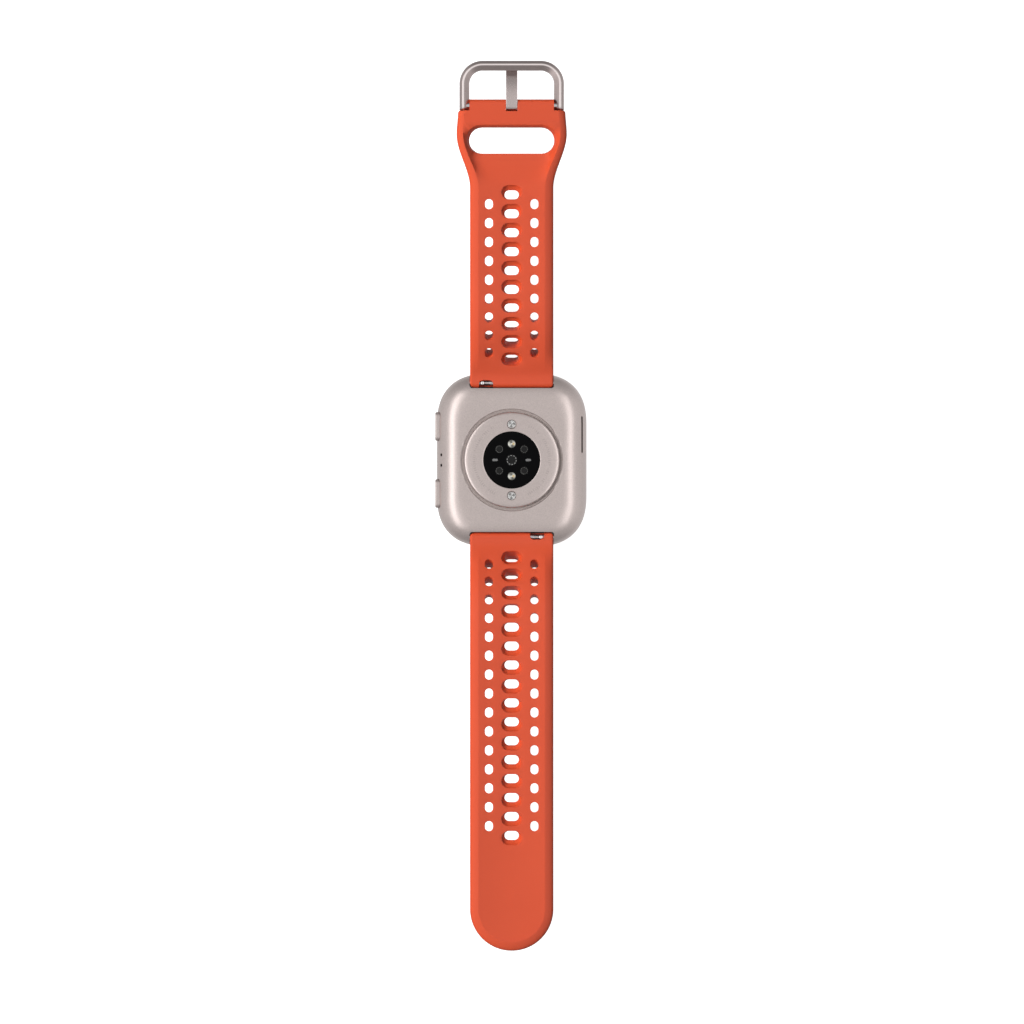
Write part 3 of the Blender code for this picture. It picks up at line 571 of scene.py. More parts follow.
def addLensMap(piece, centre, radius):  # a flat map: the lens's rim is at 1
    layer = piece.data.uv_layers.new(name="lensMap")
    for loop in piece.data.loops:
        place = piece.data.vertices[loop.vertex_index].co / mm
        layer.data[loop.index].uv = ((place.x - centre.x) / radius, (place.y - centre.y) / radius)


def windowHeight(x, y):
    return 10.43 - 0.0093 * (x * x + y * y)


def buildLens(node, look, profile):  # profile: (share of the radius, height over the window)
    low, high = boxMm(node)
    middle, radius = (low + high) / 2, (high.x - low.x) / 2
    top = windowHeight(middle.x, middle.y)
    points = [(0, 9.5), (radius, 9.5)] + [(radius * share, top + rise) for share, rise in profile]
    bm = move(turnedSolid(points, 48), middle.x, middle.y)
    for vert in bm.verts:  # the lens follows the window's dome
        if vert.co.z > 9.6:
            vert.co.z += windowHeight(vert.co.x, vert.co.y) - top
    piece = finishPiece(bm, "piece_" + node, look, "case", [node], sharp=60.0)
    addLensMap(piece, middle, radius)


def buildIsland():
    island = finishPiece(turnedSolid(islandShape["profile"], 160), "islandCover", "island", "case",
                         ["sensor_island"])
    tools = []
    for node in ("charge_contact_upper", "charge_contact_lower"):
        middle = centreMm(node)
        hole = move(turnedSolid(islandShape["contactHole"], 48), 0, middle.y)
        tools.append(finishPiece(hole, "contactTool", "alloy", None, ()))
        contact = move(turnedSolid(islandShape["contact"], 48), 0, middle.y)
        piece = finishPiece(contact, "piece_" + node, "contact", "case", [node])
        addLensMap(piece, middle, 1.06)
    cutAway(island, tools, sharp=24.0)
    crown = [(radius, windowHeight(radius, 0)) for radius in islandShape["windowRows"]]
    finishPiece(turnedSolid([*islandShape["window"], *crown], 128), "blackWindow", "windowGlass", "case",
                ["sensor_window"])
    dome = ((1.0, -0.06), (0.98, 0.0), (0.9, 0.04), (0.7, 0.10), (0.4, 0.14), (0.0, 0.155))
    plate = ((1.0, -0.03), (0.99, 0.02), (0.96, 0.03), (0.7, 0.03), (0.35, 0.03), (0.0, 0.03))
    for node in ("led_lens_upper", "led_lens_lower"):
        buildLens(node, "lensLight", dome)
    for number in range(1, 5):
        buildLens(f"photodiode_lens_{number}", "lensDark", plate)
    buildLens("centre_lens", "lensCentre", plate)
    for node in ("infrared_bar_left", "infrared_bar_right"):
        low, high = boxMm(node)
        middle = (low + high) / 2
        top = windowHeight(middle.x, 0)
        bm = slotSolid((high.x - low.x) / 2, (high.y - low.y) / 2,
                       ((0, 9.5), (0, top), (0.03, top + 0.03), (0.12, top + 0.04)), 40)
        finishPiece(move(bm, middle.x, 0), "piece_" + node, "bars", "case", [node])


print("sensor island")
buildIsland()


def buildButton(node, body):
    low, high = boxMm(node)
    middle = (low + high) / 2
    halfLong, halfTall = (high.y - low.y) / 2, (high.z - low.z) / 2
    face = -low.x
    levels = ((0.05, face - 1.35), (0, face - 1.2), (0, face - 0.34), (0.03, face - 0.2), (0.1, face - 0.09),
              (0.22, face - 0.03), (0.4, face), (0.7, face + 0.0))
    bm = slotSolid(halfLong, halfTall, levels, 96)
    turn = Matrix.Rotation(-math.pi / 2, 4, "Y") @ Matrix.Rotation(math.pi / 2, 4, "Z")
    move(bm, 0, middle.y, middle.z, turn)
    stem = turnedSolid(((0, 16.95), (0.42, 16.95), (0.5, 17.05), (0.5, face - 1.3), (0, face - 1.3)), 32)
    move(stem, 0, middle.y, middle.z, Matrix.Rotation(-math.pi / 2, 4, "Y"))
    stemMesh = bpy.data.meshes.new("stem")
    stem.to_mesh(stemMesh)
    stem.free()
    bm.from_mesh(stemMesh)
    finishPiece(bm, "cap_" + node, "alloy", body, [node])


print("buttons")
buildButton("button_upper", "upper_button")
buildButton("button_lower", "lower_button")


barAxis = centreMm("bar_tube_upper")
pinAxis = centreMm("buckle_pin")
strapShape = {
    "knuckle": 1.3, "frontTurn": 130.8,  # radius round the spring bar, and the turn to the mould line
    "climb": 27.0, "climbStart": 3.6, "levelFrom": 25.4, "levelTo": 46.2,
    "thin": 2.6, "thick": 5.0, "thickBy": 3.15, "thinFrom": 28.0, "thinBy": 41.0,
    "half": 11.0, "ridge": 8.75, "dish": 0.45, "bandDrop": (0.34, 0.46),
    "columns": (0.0, 0.9375, 1.875, 2.8125, 3.75, 4.375, 5.1875, 6.0, 6.8125, 7.625, 8.2, 8.6, 8.75, 8.9, 9.4,
                10.0, 10.45, 10.75, 10.92, 11.0),
    "pitch": 5.0, "rowsPerPitch": 8,
    "edgeRound": 0.42,
    "deepen": 0.08,
    "throughHalf": (1.89, 1.19), "sideHalf": (1.055, 1.335), "sideX": 6.0,
    # centre hole on the wrist side: half sizes, shift away from the case, depth
    "scoop": ((2.86, 2.03, 0.685, 0.0), (2.74, 1.91, 0.685, 0.025), (2.69, 1.865, 0.68, 0.12),
              (2.60, 1.78, 0.62, 0.42), (2.42, 1.60, 0.44, 0.78), (2.16, 1.38, 0.19, 1.02),
              (1.97, 1.25, 0.04, 1.14), (1.89, 1.19, 0.0, 1.30)),
}
columnList = [-x for x in reversed(strapShape["columns"][1:])] + list(strapShape["columns"])
middleColumn = len(strapShape["columns"]) - 1


def strapSlope(y):
    shape = strapShape
    climb = smoothStep((y - barAxis.y) / shape["climbStart"])
    level = smoothStep((y - shape["levelFrom"]) / (shape["levelTo"] - shape["levelFrom"]))
    return math.radians(shape["climb"]) * climb * (1 - level)


def makeCentreline():  # (length from the bar, y, z, slope) along the wrist side
    rows, step = [], 0.05
    y, z, along = barAxis.y, barAxis.z + strapShape["knuckle"], 0.0
    while y < strapShape["levelTo"] + 0.2:
        rows.append((along, y, z, strapSlope(y)))
        slope = strapSlope(y + step / 2)
        y += step * math.cos(slope)
        z += step * math.sin(slope)
        along += step
    return rows


centreline = makeCentreline()
flatLength = centreline[-1][0] - centreline[-1][1]  # strap length less distance, past the climb


def onCentreline(v):  # v is the distance from the case's centre that the strap has when pulled flat
    along = max(v + flatLength, 0.0)
    if along >= centreline[-1][0]:
        last = centreline[-1]
        return last[1] + along - last[0], last[2], 0.0
    index = min(int(along / 0.05), len(centreline) - 2)
    share = along / 0.05 - index
    a, b = centreline[index], centreline[index + 1]
    return tuple(a[i] + (b[i] - a[i]) * share for i in (1, 2, 3))


barV = -flatLength


def strapThickness(y):
    shape = strapShape
    grow = smoothStep((y - barAxis.y) / shape["thickBy"])
    shrink = smoothStep((y - shape["thinFrom"]) / (shape["thinBy"] - shape["thinFrom"]))
    return shape["thin"] + (shape["thick"] - shape["thin"]) * grow * (1 - shrink)


longStrap = {
    "name": "longStrap", "node": "strap_long", "body": "long_strap", "side": -1,
    "firstHole": 24.1, "centreHoles": 16, "sideHoles": 15,
    "tipCentre": -boxMm("strap_long")[0].y - 11.0, "tipSteps": 44,
}
headHigh = boxMm("strap_buckle")[1]
buckleStrap = {
    "name": "buckleStrap", "node": "strap_buckle", "body": "buckle_strap", "side": 1,
    "firstHole": 25.0, "centreHoles": 10, "sideHoles": 9,
    "widenFrom": 71.8, "widenTo": 86.0, "headHalf": headHigh.x, "endHalf": 14.15,
    "tabHalf": 11.16, "shoulder": 92.3, "shoulderRound": 0.75, "lip": 0.25, "end": headHigh.y,
    "notchHalf": 1.52, "notchFrom": 92.12,
    "slotCentre": 84.3, "slotHalf": (11.22, 3.42), "slotRows": (79.375, 89.375),
    "endRows": (90.0, 90.6, 91.2, 91.55, 91.75, 91.95, 92.12, 92.22, 92.3,
                92.65, 93.1, 93.6, 94.0, 94.35, 94.62, 94.84, 95.0, 95.12),
    "dishDeep": 1.45, "noseRadius": 1.05,
}


def strapRows(strap):  # rows of the sheet, on the hole pitch, with finer ones round the spring bar
    step = strapShape["pitch"] / strapShape["rowsPerPitch"]
    start = strap["firstHole"] - 3 * step
    before = []
    v = start - step
    while v > barV + 0.3:
        before.insert(0, v)
        v -= step
    last = strap["slotRows"][1] if "slotRows" in strap else strap["tipCentre"]
    count = int((last - start) / step + 0.001)
    rows = [barV] + before + [start + step * i for i in range(count + 1)]
    if "endRows" in strap:
        return rows + list(strap["endRows"]) + [strap["end"]]
    if last - rows[-1] < step / 2:
        rows.pop()
    return rows + [last]


def headShare(strap, v):
    return smoothStep((v - strap["widenFrom"]) / (strap["widenTo"] - strap["widenFrom"]))


def headHalf(strap, v):
    half = strapShape["half"] + (strap["headHalf"] - strapShape["half"]) * headShare(strap, v)
    half += (strap["endHalf"] - strap["headHalf"]) * smoothStep((v - strap["widenTo"]) / 6.5)
    radius = strap["shoulderRound"]
    reach = min(max(v - (strap["shoulder"] - radius), 0.0), radius)
    return half - radius + math.sqrt(radius * radius - reach * reach)


def widen(strap, x, v):  # the head is wider than the strap: the sheet's columns move out
    if "widenFrom" not in strap:
        return x
    share, half = headShare(strap, v), headHalf(strap, v)
    tab = 7.625 + (strap["tabHalf"] - 7.625) * share
    ridge = half - 2.25 + 0.55 * share
    notch = 1.875 + (strap["notchHalf"] - 1.875) * share
    stops = ((0.0, 0.0), (1.875, notch), (7.625, tab), (strapShape["ridge"], ridge), (11.0, half))
    size = abs(x)
    for (a, first), (b, second) in zip(stops, stops[1:]):
        if size <= b + 1e-9:
            return math.copysign(first + (second - first) * (size - a) / (b - a), x)
    return x


# where a point is between the middle (0), the ridge (8.75) and the edge (11)
def acrossSheet(strap, x, v):
    if "tipCentre" in strap:
        return math.hypot(x, v - strap["tipCentre"]) if v > strap["tipCentre"] else abs(x)
    share, half = headShare(strap, v), headHalf(strap, v)
    ridge = half - 2.25 + 0.55 * share
    size = abs(x)
    if size < ridge:
        return size * strapShape["ridge"] / ridge
    return strapShape["ridge"] + (size - ridge) * 2.25 / (half - ridge)


def wristRelief(strap, x, v):  # height over the flat sheet on the wrist side
    shape = strapShape
    fade = smoothStep((v - barV - 2.0) / 8.0)
    across = acrossSheet(strap, x, v)
    depth, power = shape["dish"] * fade, 2.0
    if "widenFrom" in strap:
        deepen = smoothStep((v - 72.0) / 8.5)
        depth += (strap["dishDeep"] - shape["dish"]) * deepen
        depth *= 1 - smoothStep((v - 85.5) / 2.4)
        power += 11.0 * deepen
    height = 0.0
    if across < shape["ridge"]:
        height = -depth * (1 - (across / shape["ridge"]) ** power)
    else:
        u = (across - shape["ridge"]) / 2.25
        height = -fade * (shape["bandDrop"][0] * u + shape["bandDrop"][1] * u * u)
    height -= edgeFall(11.0 - across, shape["edgeRound"])
    return height - noseFall(strap, v)


def edgeFall(distance, radius):  # a quarter-round edge
    inside = max(radius - max(distance, 0.0), 0.0)
    return radius - math.sqrt(max(radius * radius - inside * inside, 0.0))


def noseFall(strap, v):
    if "noseRadius" not in strap:
        return 0.0
    return edgeFall(strap["end"] - v, strap["noseRadius"])


# bends the flat sheet along the strap's centreline; z is height over the nearer surface
def placeOnStrap(strap, vert, under):
    shape = strapShape
    x, v, z = vert.co
    if v < barV:  # round the spring bar
        turn = (barV - v) / shape["knuckle"]
        if vert[under]:
            turn = math.pi - turn
        radius = shape["knuckle"] + z - edgeFall(11.0 - abs(x), shape["edgeRound"])
        y = barAxis.y - radius * math.sin(turn)
        height = barAxis.z + radius * math.cos(turn)
        vert.co = (roundCorner(x, turn), strap["side"] * y, height)
        return
    y, top, slope = onCentreline(v)
    if vert[under]:
        rise = -strapThickness(y) + z + edgeFall(11.0 - acrossSheet(strap, x, v), shape["edgeRound"])
        rise += noseFall(strap, v)
    else:
        rise = z + wristRelief(strap, x, v)
    y -= rise * math.sin(slope)
    vert.co = (x, strap["side"] * y, top + rise * math.cos(slope))


def roundCorner(x, turn):  # the strap's end has rounded corners in plan
    forward = max(math.sin(min(turn, math.pi / 2)), 0.0) * strapShape["knuckle"]
    reach = max(forward - strapShape["knuckle"] + 0.9, 0.0)  # how far into the corner's arc
    pull = 0.9 - math.sqrt(max(0.81 - reach * reach, 0.0))
    beyond = max(abs(x) - 10.0, 0.0)
    return math.copysign(abs(x) - beyond * pull, x)


def makeSheet(bm, layers, rows, isUnder):
    columns = len(columnList)
    made = bmesh.ops.create_grid(bm, x_segments=columns - 1, y_segments=len(rows) - 1, size=0.5)["verts"]
    for vert in made:
        column = round((vert.co.x + 0.5) * (columns - 1))
        row = round((vert.co.y + 0.5) * (len(rows) - 1))
        vert[layers["column"]], vert[layers["row"]] = column, row
        vert[layers["turn"]] = -1.0
        vert[layers["under"]] = isUnder
        vert.co = (columnList[column], rows[row], 0.0)
    return made


def boxTurn(column, row, columns, rows):  # 0 to 4 round a block of the sheet, from its first corner
    (c0, c1), (r0, r1) = columns, rows
    if row == r0 and column < c1:
        return (column - c0) / (c1 - c0)
    if column == c1 and row < r1:
        return 1 + (row - r0) / (r1 - r0)
    if row == r1 and column > c0:
        return 2 + (c1 - column) / (c1 - c0)
    return 3 + (r1 - row) / (r1 - r0)


# the same way round a slot with round ends; the corners fall in the middle of its arcs
def slotPoint(turn, halfX, halfY):
    side, share = int(turn) % 4, turn - int(turn)
    radius = min(halfX, halfY)
    reach = (halfX - radius) if side % 2 == 0 else (halfY - radius)
    arcLength = math.pi / 4 * radius
    walked = share * (2 * arcLength + 2 * reach)
    if walked < arcLength:
        angle = -math.pi / 4 + walked / radius
        along, out = -reach + radius * math.sin(angle), radius * math.cos(angle)
    elif walked > arcLength + 2 * reach:
        angle = (walked - arcLength - 2 * reach) / radius
        along, out = reach + radius * math.sin(angle), radius * math.cos(angle)
    else:
        along, out = -reach + walked - arcLength, radius
    outward = out + ((halfY if side % 2 == 0 else halfX) - radius)
    return ((along, -outward), (outward, along), (-along, outward), (-outward, -along))[side]


# rings: (half x, half y, middle x, middle v, depth, on the display side)
def cutHole(bm, layers, isUnder, columns, rows, rings):
    (c0, c1), (r0, r1) = columns, rows
    column, row, turn, under = (layers[key] for key in ("column", "row", "turn", "under"))
    verts = layers["byPlace"]
    block = [verts[isUnder, c, r] for c in range(c0, c1 + 1) for r in range(r0, r1 + 1)]
    inside = set(block)
    faces = {f for vert in block for f in vert.link_faces if all(v in inside for v in f.verts)}
    bmesh.ops.delete(bm, geom=list(faces), context="FACES_ONLY")
    inner = [verts[isUnder, c, r] for c in range(c0 + 1, c1) for r in range(r0 + 1, r1)]
    rim = [v for v in block if v[column] in columns or v[row] in rows]
    for vert in rim:
        vert[turn] = boxTurn(vert[column], vert[row], columns, rows)
    rimSet = set(rim)
    edges = {e for v in rim for e in v.link_edges
             if e.verts[0] in rimSet and e.verts[1] in rimSet and len(e.link_faces) == 1}
    bmesh.ops.delete(bm, geom=inner, context="VERTS")
    edges = [e for e in edges if e.is_valid]

    def ringPlace(ring):
        halfX, halfY, middleX, middleV, depth, below = ring

        def place(vert):
            x, v = slotPoint(vert[turn], halfX, halfY)
            vert[under] = 1 if below else 0
            return Vector((middleX + x, middleV + v, depth if below else -depth))
        return place
    last = addRings(bm, edges, [ringPlace(ring) for ring in rings])
    for vert in {v for e in last for v in e.verts}:
        vert[turn] = 9.0  # marks the loop that meets its twin from the other side


# each hole runs from its ring on the wrist side to the matching one on the display side
def punchSheets(bm, layers, strap, rows):
    shape = strapShape
    per = shape["rowsPerPitch"]
    firstRow = rows.index(next(v for v in rows if abs(v - (strap["firstHole"] - 1.875)) < 1e-6))
    middle = middleColumn
    halfX, halfY = shape["throughHalf"]
    sideX, sideY = shape["sideHalf"]
    columnAt = shape["columns"].index
    centreColumns = (middle - columnAt(3.75), middle + columnAt(3.75))
    for i in range(strap["centreHoles"]):
        v = strap["firstHole"] + shape["pitch"] * i
        span = (firstRow + per * i, firstRow + per * (i + 1))
        deep = 1 + shape["deepen"] * (strapThickness(onCentreline(v)[0]) - shape["thin"])
        scoop = [(hx, hy, 0.0, v + shift, depth * deep, False) for hx, hy, shift, depth in shape["scoop"]]
        rimUnder = [(halfX + 0.15, halfY + 0.15, 0, v, 0.0, True),
                    (halfX + 0.03, halfY + 0.03, 0, v, 0.03, True), (halfX, halfY, 0, v, 0.14, True)]
        cutHole(bm, layers, 0, centreColumns, span, scoop + [rimUnder[-1]])
        cutHole(bm, layers, 1, centreColumns, span, rimUnder)
    for i in range(strap["sideHoles"]):
        v = strap["firstHole"] + shape["pitch"] * (i + 0.5) + 0.05
        start = firstRow + per * i + 3
        for side in (-1, 1):
            ends = sorted((middle + side * columnAt(4.375), middle + side * columnAt(7.625)))
            x = side * shape["sideX"]
            rim = [(sideX + 0.14, sideY + 0.14, x, v, 0.0), (sideX + 0.03, sideY + 0.03, x, v, 0.03),
                   (sideX, sideY, x, v, 0.14)]
            top = [(*ring, False) for ring in rim]
            low = [(*ring, True) for ring in rim]
            cutHole(bm, layers, 0, tuple(ends), (start, start + per), top + [low[-1]])
            cutHole(bm, layers, 1, tuple(ends), (start, start + per), low)


def cutTailSlot(bm, layers, strap, rows):
    near = [min(range(len(rows)), key=lambda i: abs(rows[i] - v)) for v in strap["slotRows"]]
    edge = strapShape["columns"].index(strapShape["ridge"])
    columns = (middleColumn - edge, middleColumn + edge)
    halfX, halfY = strap["slotHalf"]
    v = strap["slotCentre"]
    top = [(halfX + 0.75, halfY + 0.42, 0, v + 0.42, 0.0, False),
           (halfX + 0.68, halfY + 0.37, 0, v + 0.38, 0.06, False),
           (halfX + 0.45, halfY + 0.26, 0, v + 0.27, 0.50, False),
           (halfX + 0.10, halfY + 0.07, 0, v + 0.07, 1.05, False)]
    low = [(halfX + 0.25, halfY + 0.25, 0, v, 0.0, True), (halfX + 0.07, halfY + 0.07, 0, v, 0.07, True),
           (halfX, halfY, 0, v, 0.25, True)]
    cutHole(bm, layers, 0, columns, tuple(near), top + [low[-1]])
    cutHole(bm, layers, 1, columns, tuple(near), low)


def trimHead(bm, layers, strap, rows):  # takes the shoulders and the tongue's notch out of both sheets
    tabColumn = strapShape["columns"].index(7.625)
    notchColumn = strapShape["columns"].index(1.875)
    unwanted = []
    for face in bm.faces:
        if min(v[layers["row"]] for v in face.verts) < 0:
            continue
        columns = [abs(v[layers["column"]] - middleColumn) for v in face.verts]
        rowsHere = [rows[v[layers["row"]]] for v in face.verts]
        shoulder = min(columns) >= tabColumn and min(rowsHere) >= strap["shoulder"] - 0.01
        notch = max(columns) <= notchColumn and min(rowsHere) >= strap["notchFrom"] - 0.01
        if shoulder or notch:
            unwanted.append(face)
    bmesh.ops.delete(bm, geom=unwanted, context="FACES")


def knuckleRows():
    turn = math.radians(strapShape["frontTurn"])
    topRows = [barV - strapShape["knuckle"] * turn * i / 12 for i in range(12, 0, -1)]
    lowTurn = math.pi - turn
    lowRows = [barV - strapShape["knuckle"] * lowTurn * i / 5 for i in range(5, 0, -1)]
    return topRows, lowRows


def buildStrap(strap):
    bm = bmesh.new()
    layers = {key: bm.verts.layers.int.new(key) for key in ("column", "row", "under")}
    layers["turn"] = bm.verts.layers.float.new("turn")
    rows = strapRows(strap)
    topRows, lowRows = knuckleRows()
    topSheet = makeSheet(bm, layers, topRows + rows, 0)
    lowSheet = makeSheet(bm, layers, lowRows + rows, 1)
    for sheet, extra in ((topSheet, len(topRows)), (lowSheet, len(lowRows))):
        for vert in sheet:  # row numbers start at the spring bar on both sheets
            vert[layers["row"]] -= extra
            if vert[layers["row"]] >= 0:
                vert.co.x = widen(strap, vert.co.x, vert.co.y)
    if "endRows" in strap:
        trimHead(bm, layers, strap, rows)
    layers["byPlace"] = {(v[layers["under"]], v[layers["column"]], v[layers["row"]]): v
                         for v in bm.verts}
    punchSheets(bm, layers, strap, rows)
    if "slotCentre" in strap:
        cutTailSlot(bm, layers, strap, rows)
    closeEdges(bm, layers, strap, rows)
    if "tipCentre" in strap:
        spinTip(bm, strap)
    for vert in bm.verts:
        placeOnStrap(strap, vert, layers["under"])
    bmesh.ops.remove_doubles(bm, verts=bm.verts, dist=2e-3)
    openEdges = [e for e in bm.edges if e.is_boundary]  # the knuckle's two ends
    bmesh.ops.holes_fill(bm, edges=openEdges, sides=0)
    piece = finishPiece(bm, strap["name"], "silicone", strap["body"], [strap["node"]],
                        merge=2e-3, sharp=40.0)
    return cutAway(piece, barTools(strap), sharp=40.0, folded="shoulder" in strap)


def closeEdges(bm, layers, strap, rows):  # walls down the outer edges of the wrist-side sheet
    turn, under = layers["turn"], layers["under"]
    lastV = rows[-1] if "tipCentre" in strap else None
    outer = []
    for edge in bm.edges:
        a, b = edge.verts
        if not edge.is_boundary or a[under] or b[under] or a[turn] == 9.0:
            continue
        if a.co.y < barV - 1 and b.co.y < barV - 1 and abs(a.co.y - b.co.y) < 1e-3:
            continue  # the mould line, where both sheets meet
        if lastV and abs(a.co.y - lastV) < 1e-3 and abs(b.co.y - lastV) < 1e-3:
            continue
        outer.append(edge)

    def down(vert):
        vert[under] = 1
        inward = "lip" in strap and (abs(vert.co.y - strap["shoulder"]) < 1e-3 or
                                     abs(vert.co.y - strap["notchFrom"]) < 1e-3 and abs(vert.co.x) < 2.0)
        return Vector((vert.co.x, vert.co.y + (strap["lip"] if inward else 0.0), 0.0))
    onStrap = [e for e in outer if min(v.co.y for v in e.verts) > barV - 1e-6]
    addRings(bm, onStrap, [lambda vert: vert.co.xy.to_3d() - Vector((0, 0, 1)), down])


def spinTip(bm, strap):
    last = strap["tipCentre"]
    chain = [e for e in bm.edges if all(abs(v.co.y - last) < 1e-3 and v.co.x > -1e-3 for v in e.verts)
             and e.is_boundary]
    verts = list({v for e in chain for v in e.verts})
    bmesh.ops.spin(bm, geom=verts + chain, cent=(0, last, 0), axis=(0, 0, 1), angle=math.pi,
                   steps=strap["tipSteps"], use_merge=False)


def barTools(strap):  # the bore for the spring bar and the pocket that bares the release knob
    side = strap["side"]
    knob = centreMm("quick_release_upper" if side > 0 else "quick_release_lower").x
    bore = turnedSolid(((0, -13.0), (0.76, -13.0), (0.76, 13.0), (0, 13.0)), 40)
    move(bore, 0, side * barAxis.y, barAxis.z, Matrix.Rotation(math.pi / 2, 4, "Y"))
    pocket = slotSolid(1.88, 1.6, ((0, -0.85), (0, 1.15), (-0.12, 1.32), (-0.35, 2.4)), 56)
    for vert in pocket.verts:  # square off the rounded slot's outline
        vert.co.x = math.copysign(abs(vert.co.x) ** 0.6 * 1.88 ** 0.4, vert.co.x)
        vert.co.y = math.copysign(abs(vert.co.y) ** 0.6 * 1.6 ** 0.4, vert.co.y)
    middle = math.copysign(6.76, knob)
    move(pocket, middle, side * (barAxis.y - 0.95), barAxis.z)
    return [finishPiece(bore, "boreTool", "silicone", None, ()),
            finishPiece(pocket, "pocketTool", "silicone", None, ())]


print("straps")
buildStrap(longStrap)
buildStrap(buckleStrap)


def buildBar(node, y):
    low, high = boxMm(node)
    half, outer = high.x, 0.7
    profile = [(0.48, -half), (outer - 0.08, -half), (outer, -half + 0.1)]
    for x in (-9.6, -4.4, 4.4, 9.6):  # rolled grooves
        profile += [(outer, x - 0.16), (outer - 0.08, x - 0.06), (outer - 0.08, x + 0.06), (outer, x + 0.16)]
    profile += [(outer, half - 0.1), (outer - 0.08, half), (0.48, half)]
    bm = move(turnedSolid(profile, 40), 0, y, barAxis.z, Matrix.Rotation(math.pi / 2, 4, "Y"))
    piece = finishPiece(bm, "tube_" + node, "bar", frame["nodes"][node]["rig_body"], [node])
    knob = centreMm(node.replace("bar_tube", "quick_release")).x
    slot = slotSolid(1.45, 0.46, ((0, 0.0), (0, 2.0)), 40)
    move(slot, math.copysign(7.1, knob), y, barAxis.z)
    cutAway(piece, [finishPiece(slot, "tubeTool", "bar", None, ())])


def buildRelease(node, body):
    low, high = boxMm(node)
    side = math.copysign(1.0, (low + high).x)
    y = (low.y + high.y) / 2
    inner, outer = sorted((abs(low.x), abs(high.x)))
    rod = ((0, inner), (0.36, inner), (0.42, inner + 0.06), (0.42, outer - 0.3), (0.34, outer - 0.06),
           (0.24, outer), (0, outer))
    bm = move(turnedSolid(rod, 32), 0, y, barAxis.z, Matrix.Rotation(side * math.pi / 2, 4, "Y"))
    knobX = side * 7.72
    top = high.z
    knob = [(0, barAxis.z + 0.2), (0.32, barAxis.z + 0.2), (0.32, top - 0.62), (0.40, top - 0.56)]
    knob += [(0.6 * math.cos(a), top - 0.36 + 0.36 * math.sin(a)) for a in
             [math.radians(d) for d in range(-35, 90, 12)]]
    knob.append((0, top))
    knobMesh = bpy.data.meshes.new("knob")
    other = move(turnedSolid(knob, 40), knobX, y)
    other.to_mesh(knobMesh)
    other.free()
    bm.from_mesh(knobMesh)
    finishPiece(bm, "release_" + node, "knob", body, [node])


print("spring bars")
buildBar("bar_tube_upper", barAxis.y)
buildBar("bar_tube_lower", -barAxis.y)
buildRelease("quick_release_upper", "upper_release")
buildRelease("quick_release_lower", "lower_release")


buckleHigh = boxMm("buckle_frame")[1]
buckleShape = {
    "outer": buckleHigh.x, "top": buckleHigh.y, "bar": 2.64, "corner": 6.1, "cornerSteps": 20, "eye": 1.2,
    # the bar's section: outwards and up from its middle
    # share of the painted highlight at each point of the section, brightest at the crease
    "highlightShare": (0.1, 0.05, 0.15, 0.0, 0.5, 1.0, 1.0, 0.3, 0.0, 0.0, 0.15, 0.05, 0, 0, 0, 0, 0, 0, 0),
    "section": ((1.32, -0.62), (1.32, 0.12), (1.25, 0.36), (0.72, 0.98), (0.52, 1.09), (0.44, 1.1),
                (0.22, 1.1), (0.12, 1.07), (0.04, 1.03), (-0.98, 0.40), (-1.2, 0.28),
                (-1.32, 0.06), (-1.32, -0.66), (-1.24, -0.92), (-1.0, -1.12),
                (-0.7, -1.2), (0.7, -1.2), (1.0, -1.12), (1.24, -0.92)),
}


def buildFrame():
    shape = buckleShape
    mid = shape["outer"] - shape["bar"] / 2
    turnX, turnY = shape["outer"] - shape["corner"], shape["top"] - shape["corner"]
    bm = bmesh.new()
    highlightShare = bm.verts.layers.float.new("highlightShare")
    section = [bm.verts.new((mid + u, pinAxis.y, pinAxis.z + w)) for u, w in shape["section"]]
    # each section point carries its share of the painted crease highlight
    for vert, share in zip(section, shape["highlightShare"]):
        vert[highlightShare] = share
    loop = [bm.edges.new(pair) for pair in zip(section, section[1:] + section[:1])]
    start = list(loop)

    def advance(edges, vec):
        grown = bmesh.ops.extrude_edge_only(bm, edges=edges)["geom"]
        bmesh.ops.translate(bm, vec=vec, verts=[g for g in grown if isinstance(g, bmesh.types.BMVert)])
        return [g for g in grown if isinstance(g, bmesh.types.BMEdge)]

    def swing(edges, centre):
        verts = list({v for e in edges for v in e.verts})
        made = bmesh.ops.spin(bm, geom=verts + edges, cent=centre, axis=(0, 0, 1), angle=math.pi / 2,
                              steps=shape["cornerSteps"], use_merge=False)
        return [g for g in made["geom_last"] if isinstance(g, bmesh.types.BMEdge)]
    loop = advance(loop, (0, turnY - pinAxis.y, 0))
    loop = swing(loop, (turnX, turnY, 0))
    loop = advance(loop, (-2 * turnX, 0, 0))
    loop = swing(loop, (-turnX, turnY, 0))
    loop = advance(loop, (0, pinAxis.y - turnY, 0))
    for ends in (start, loop):  # round the two eyes off about the pin
        roundEye(bm, ends)
    buckleFrame = finishPiece(bm, "buckleFrame", "buckle", "buckle", ["buckle_frame"],
                              sharp=24.0)
    bore = turnedSolid(((0, -12.9), (0.75, -12.9), (0.75, 12.9), (0, 12.9)), 32)
    move(bore, 0, pinAxis.y, pinAxis.z, Matrix.Rotation(math.pi / 2, 4, "Y"))
    cutAway(buckleFrame, [finishPiece(bore, "pinTool", "buckle", None, ())], sharp=24.0)


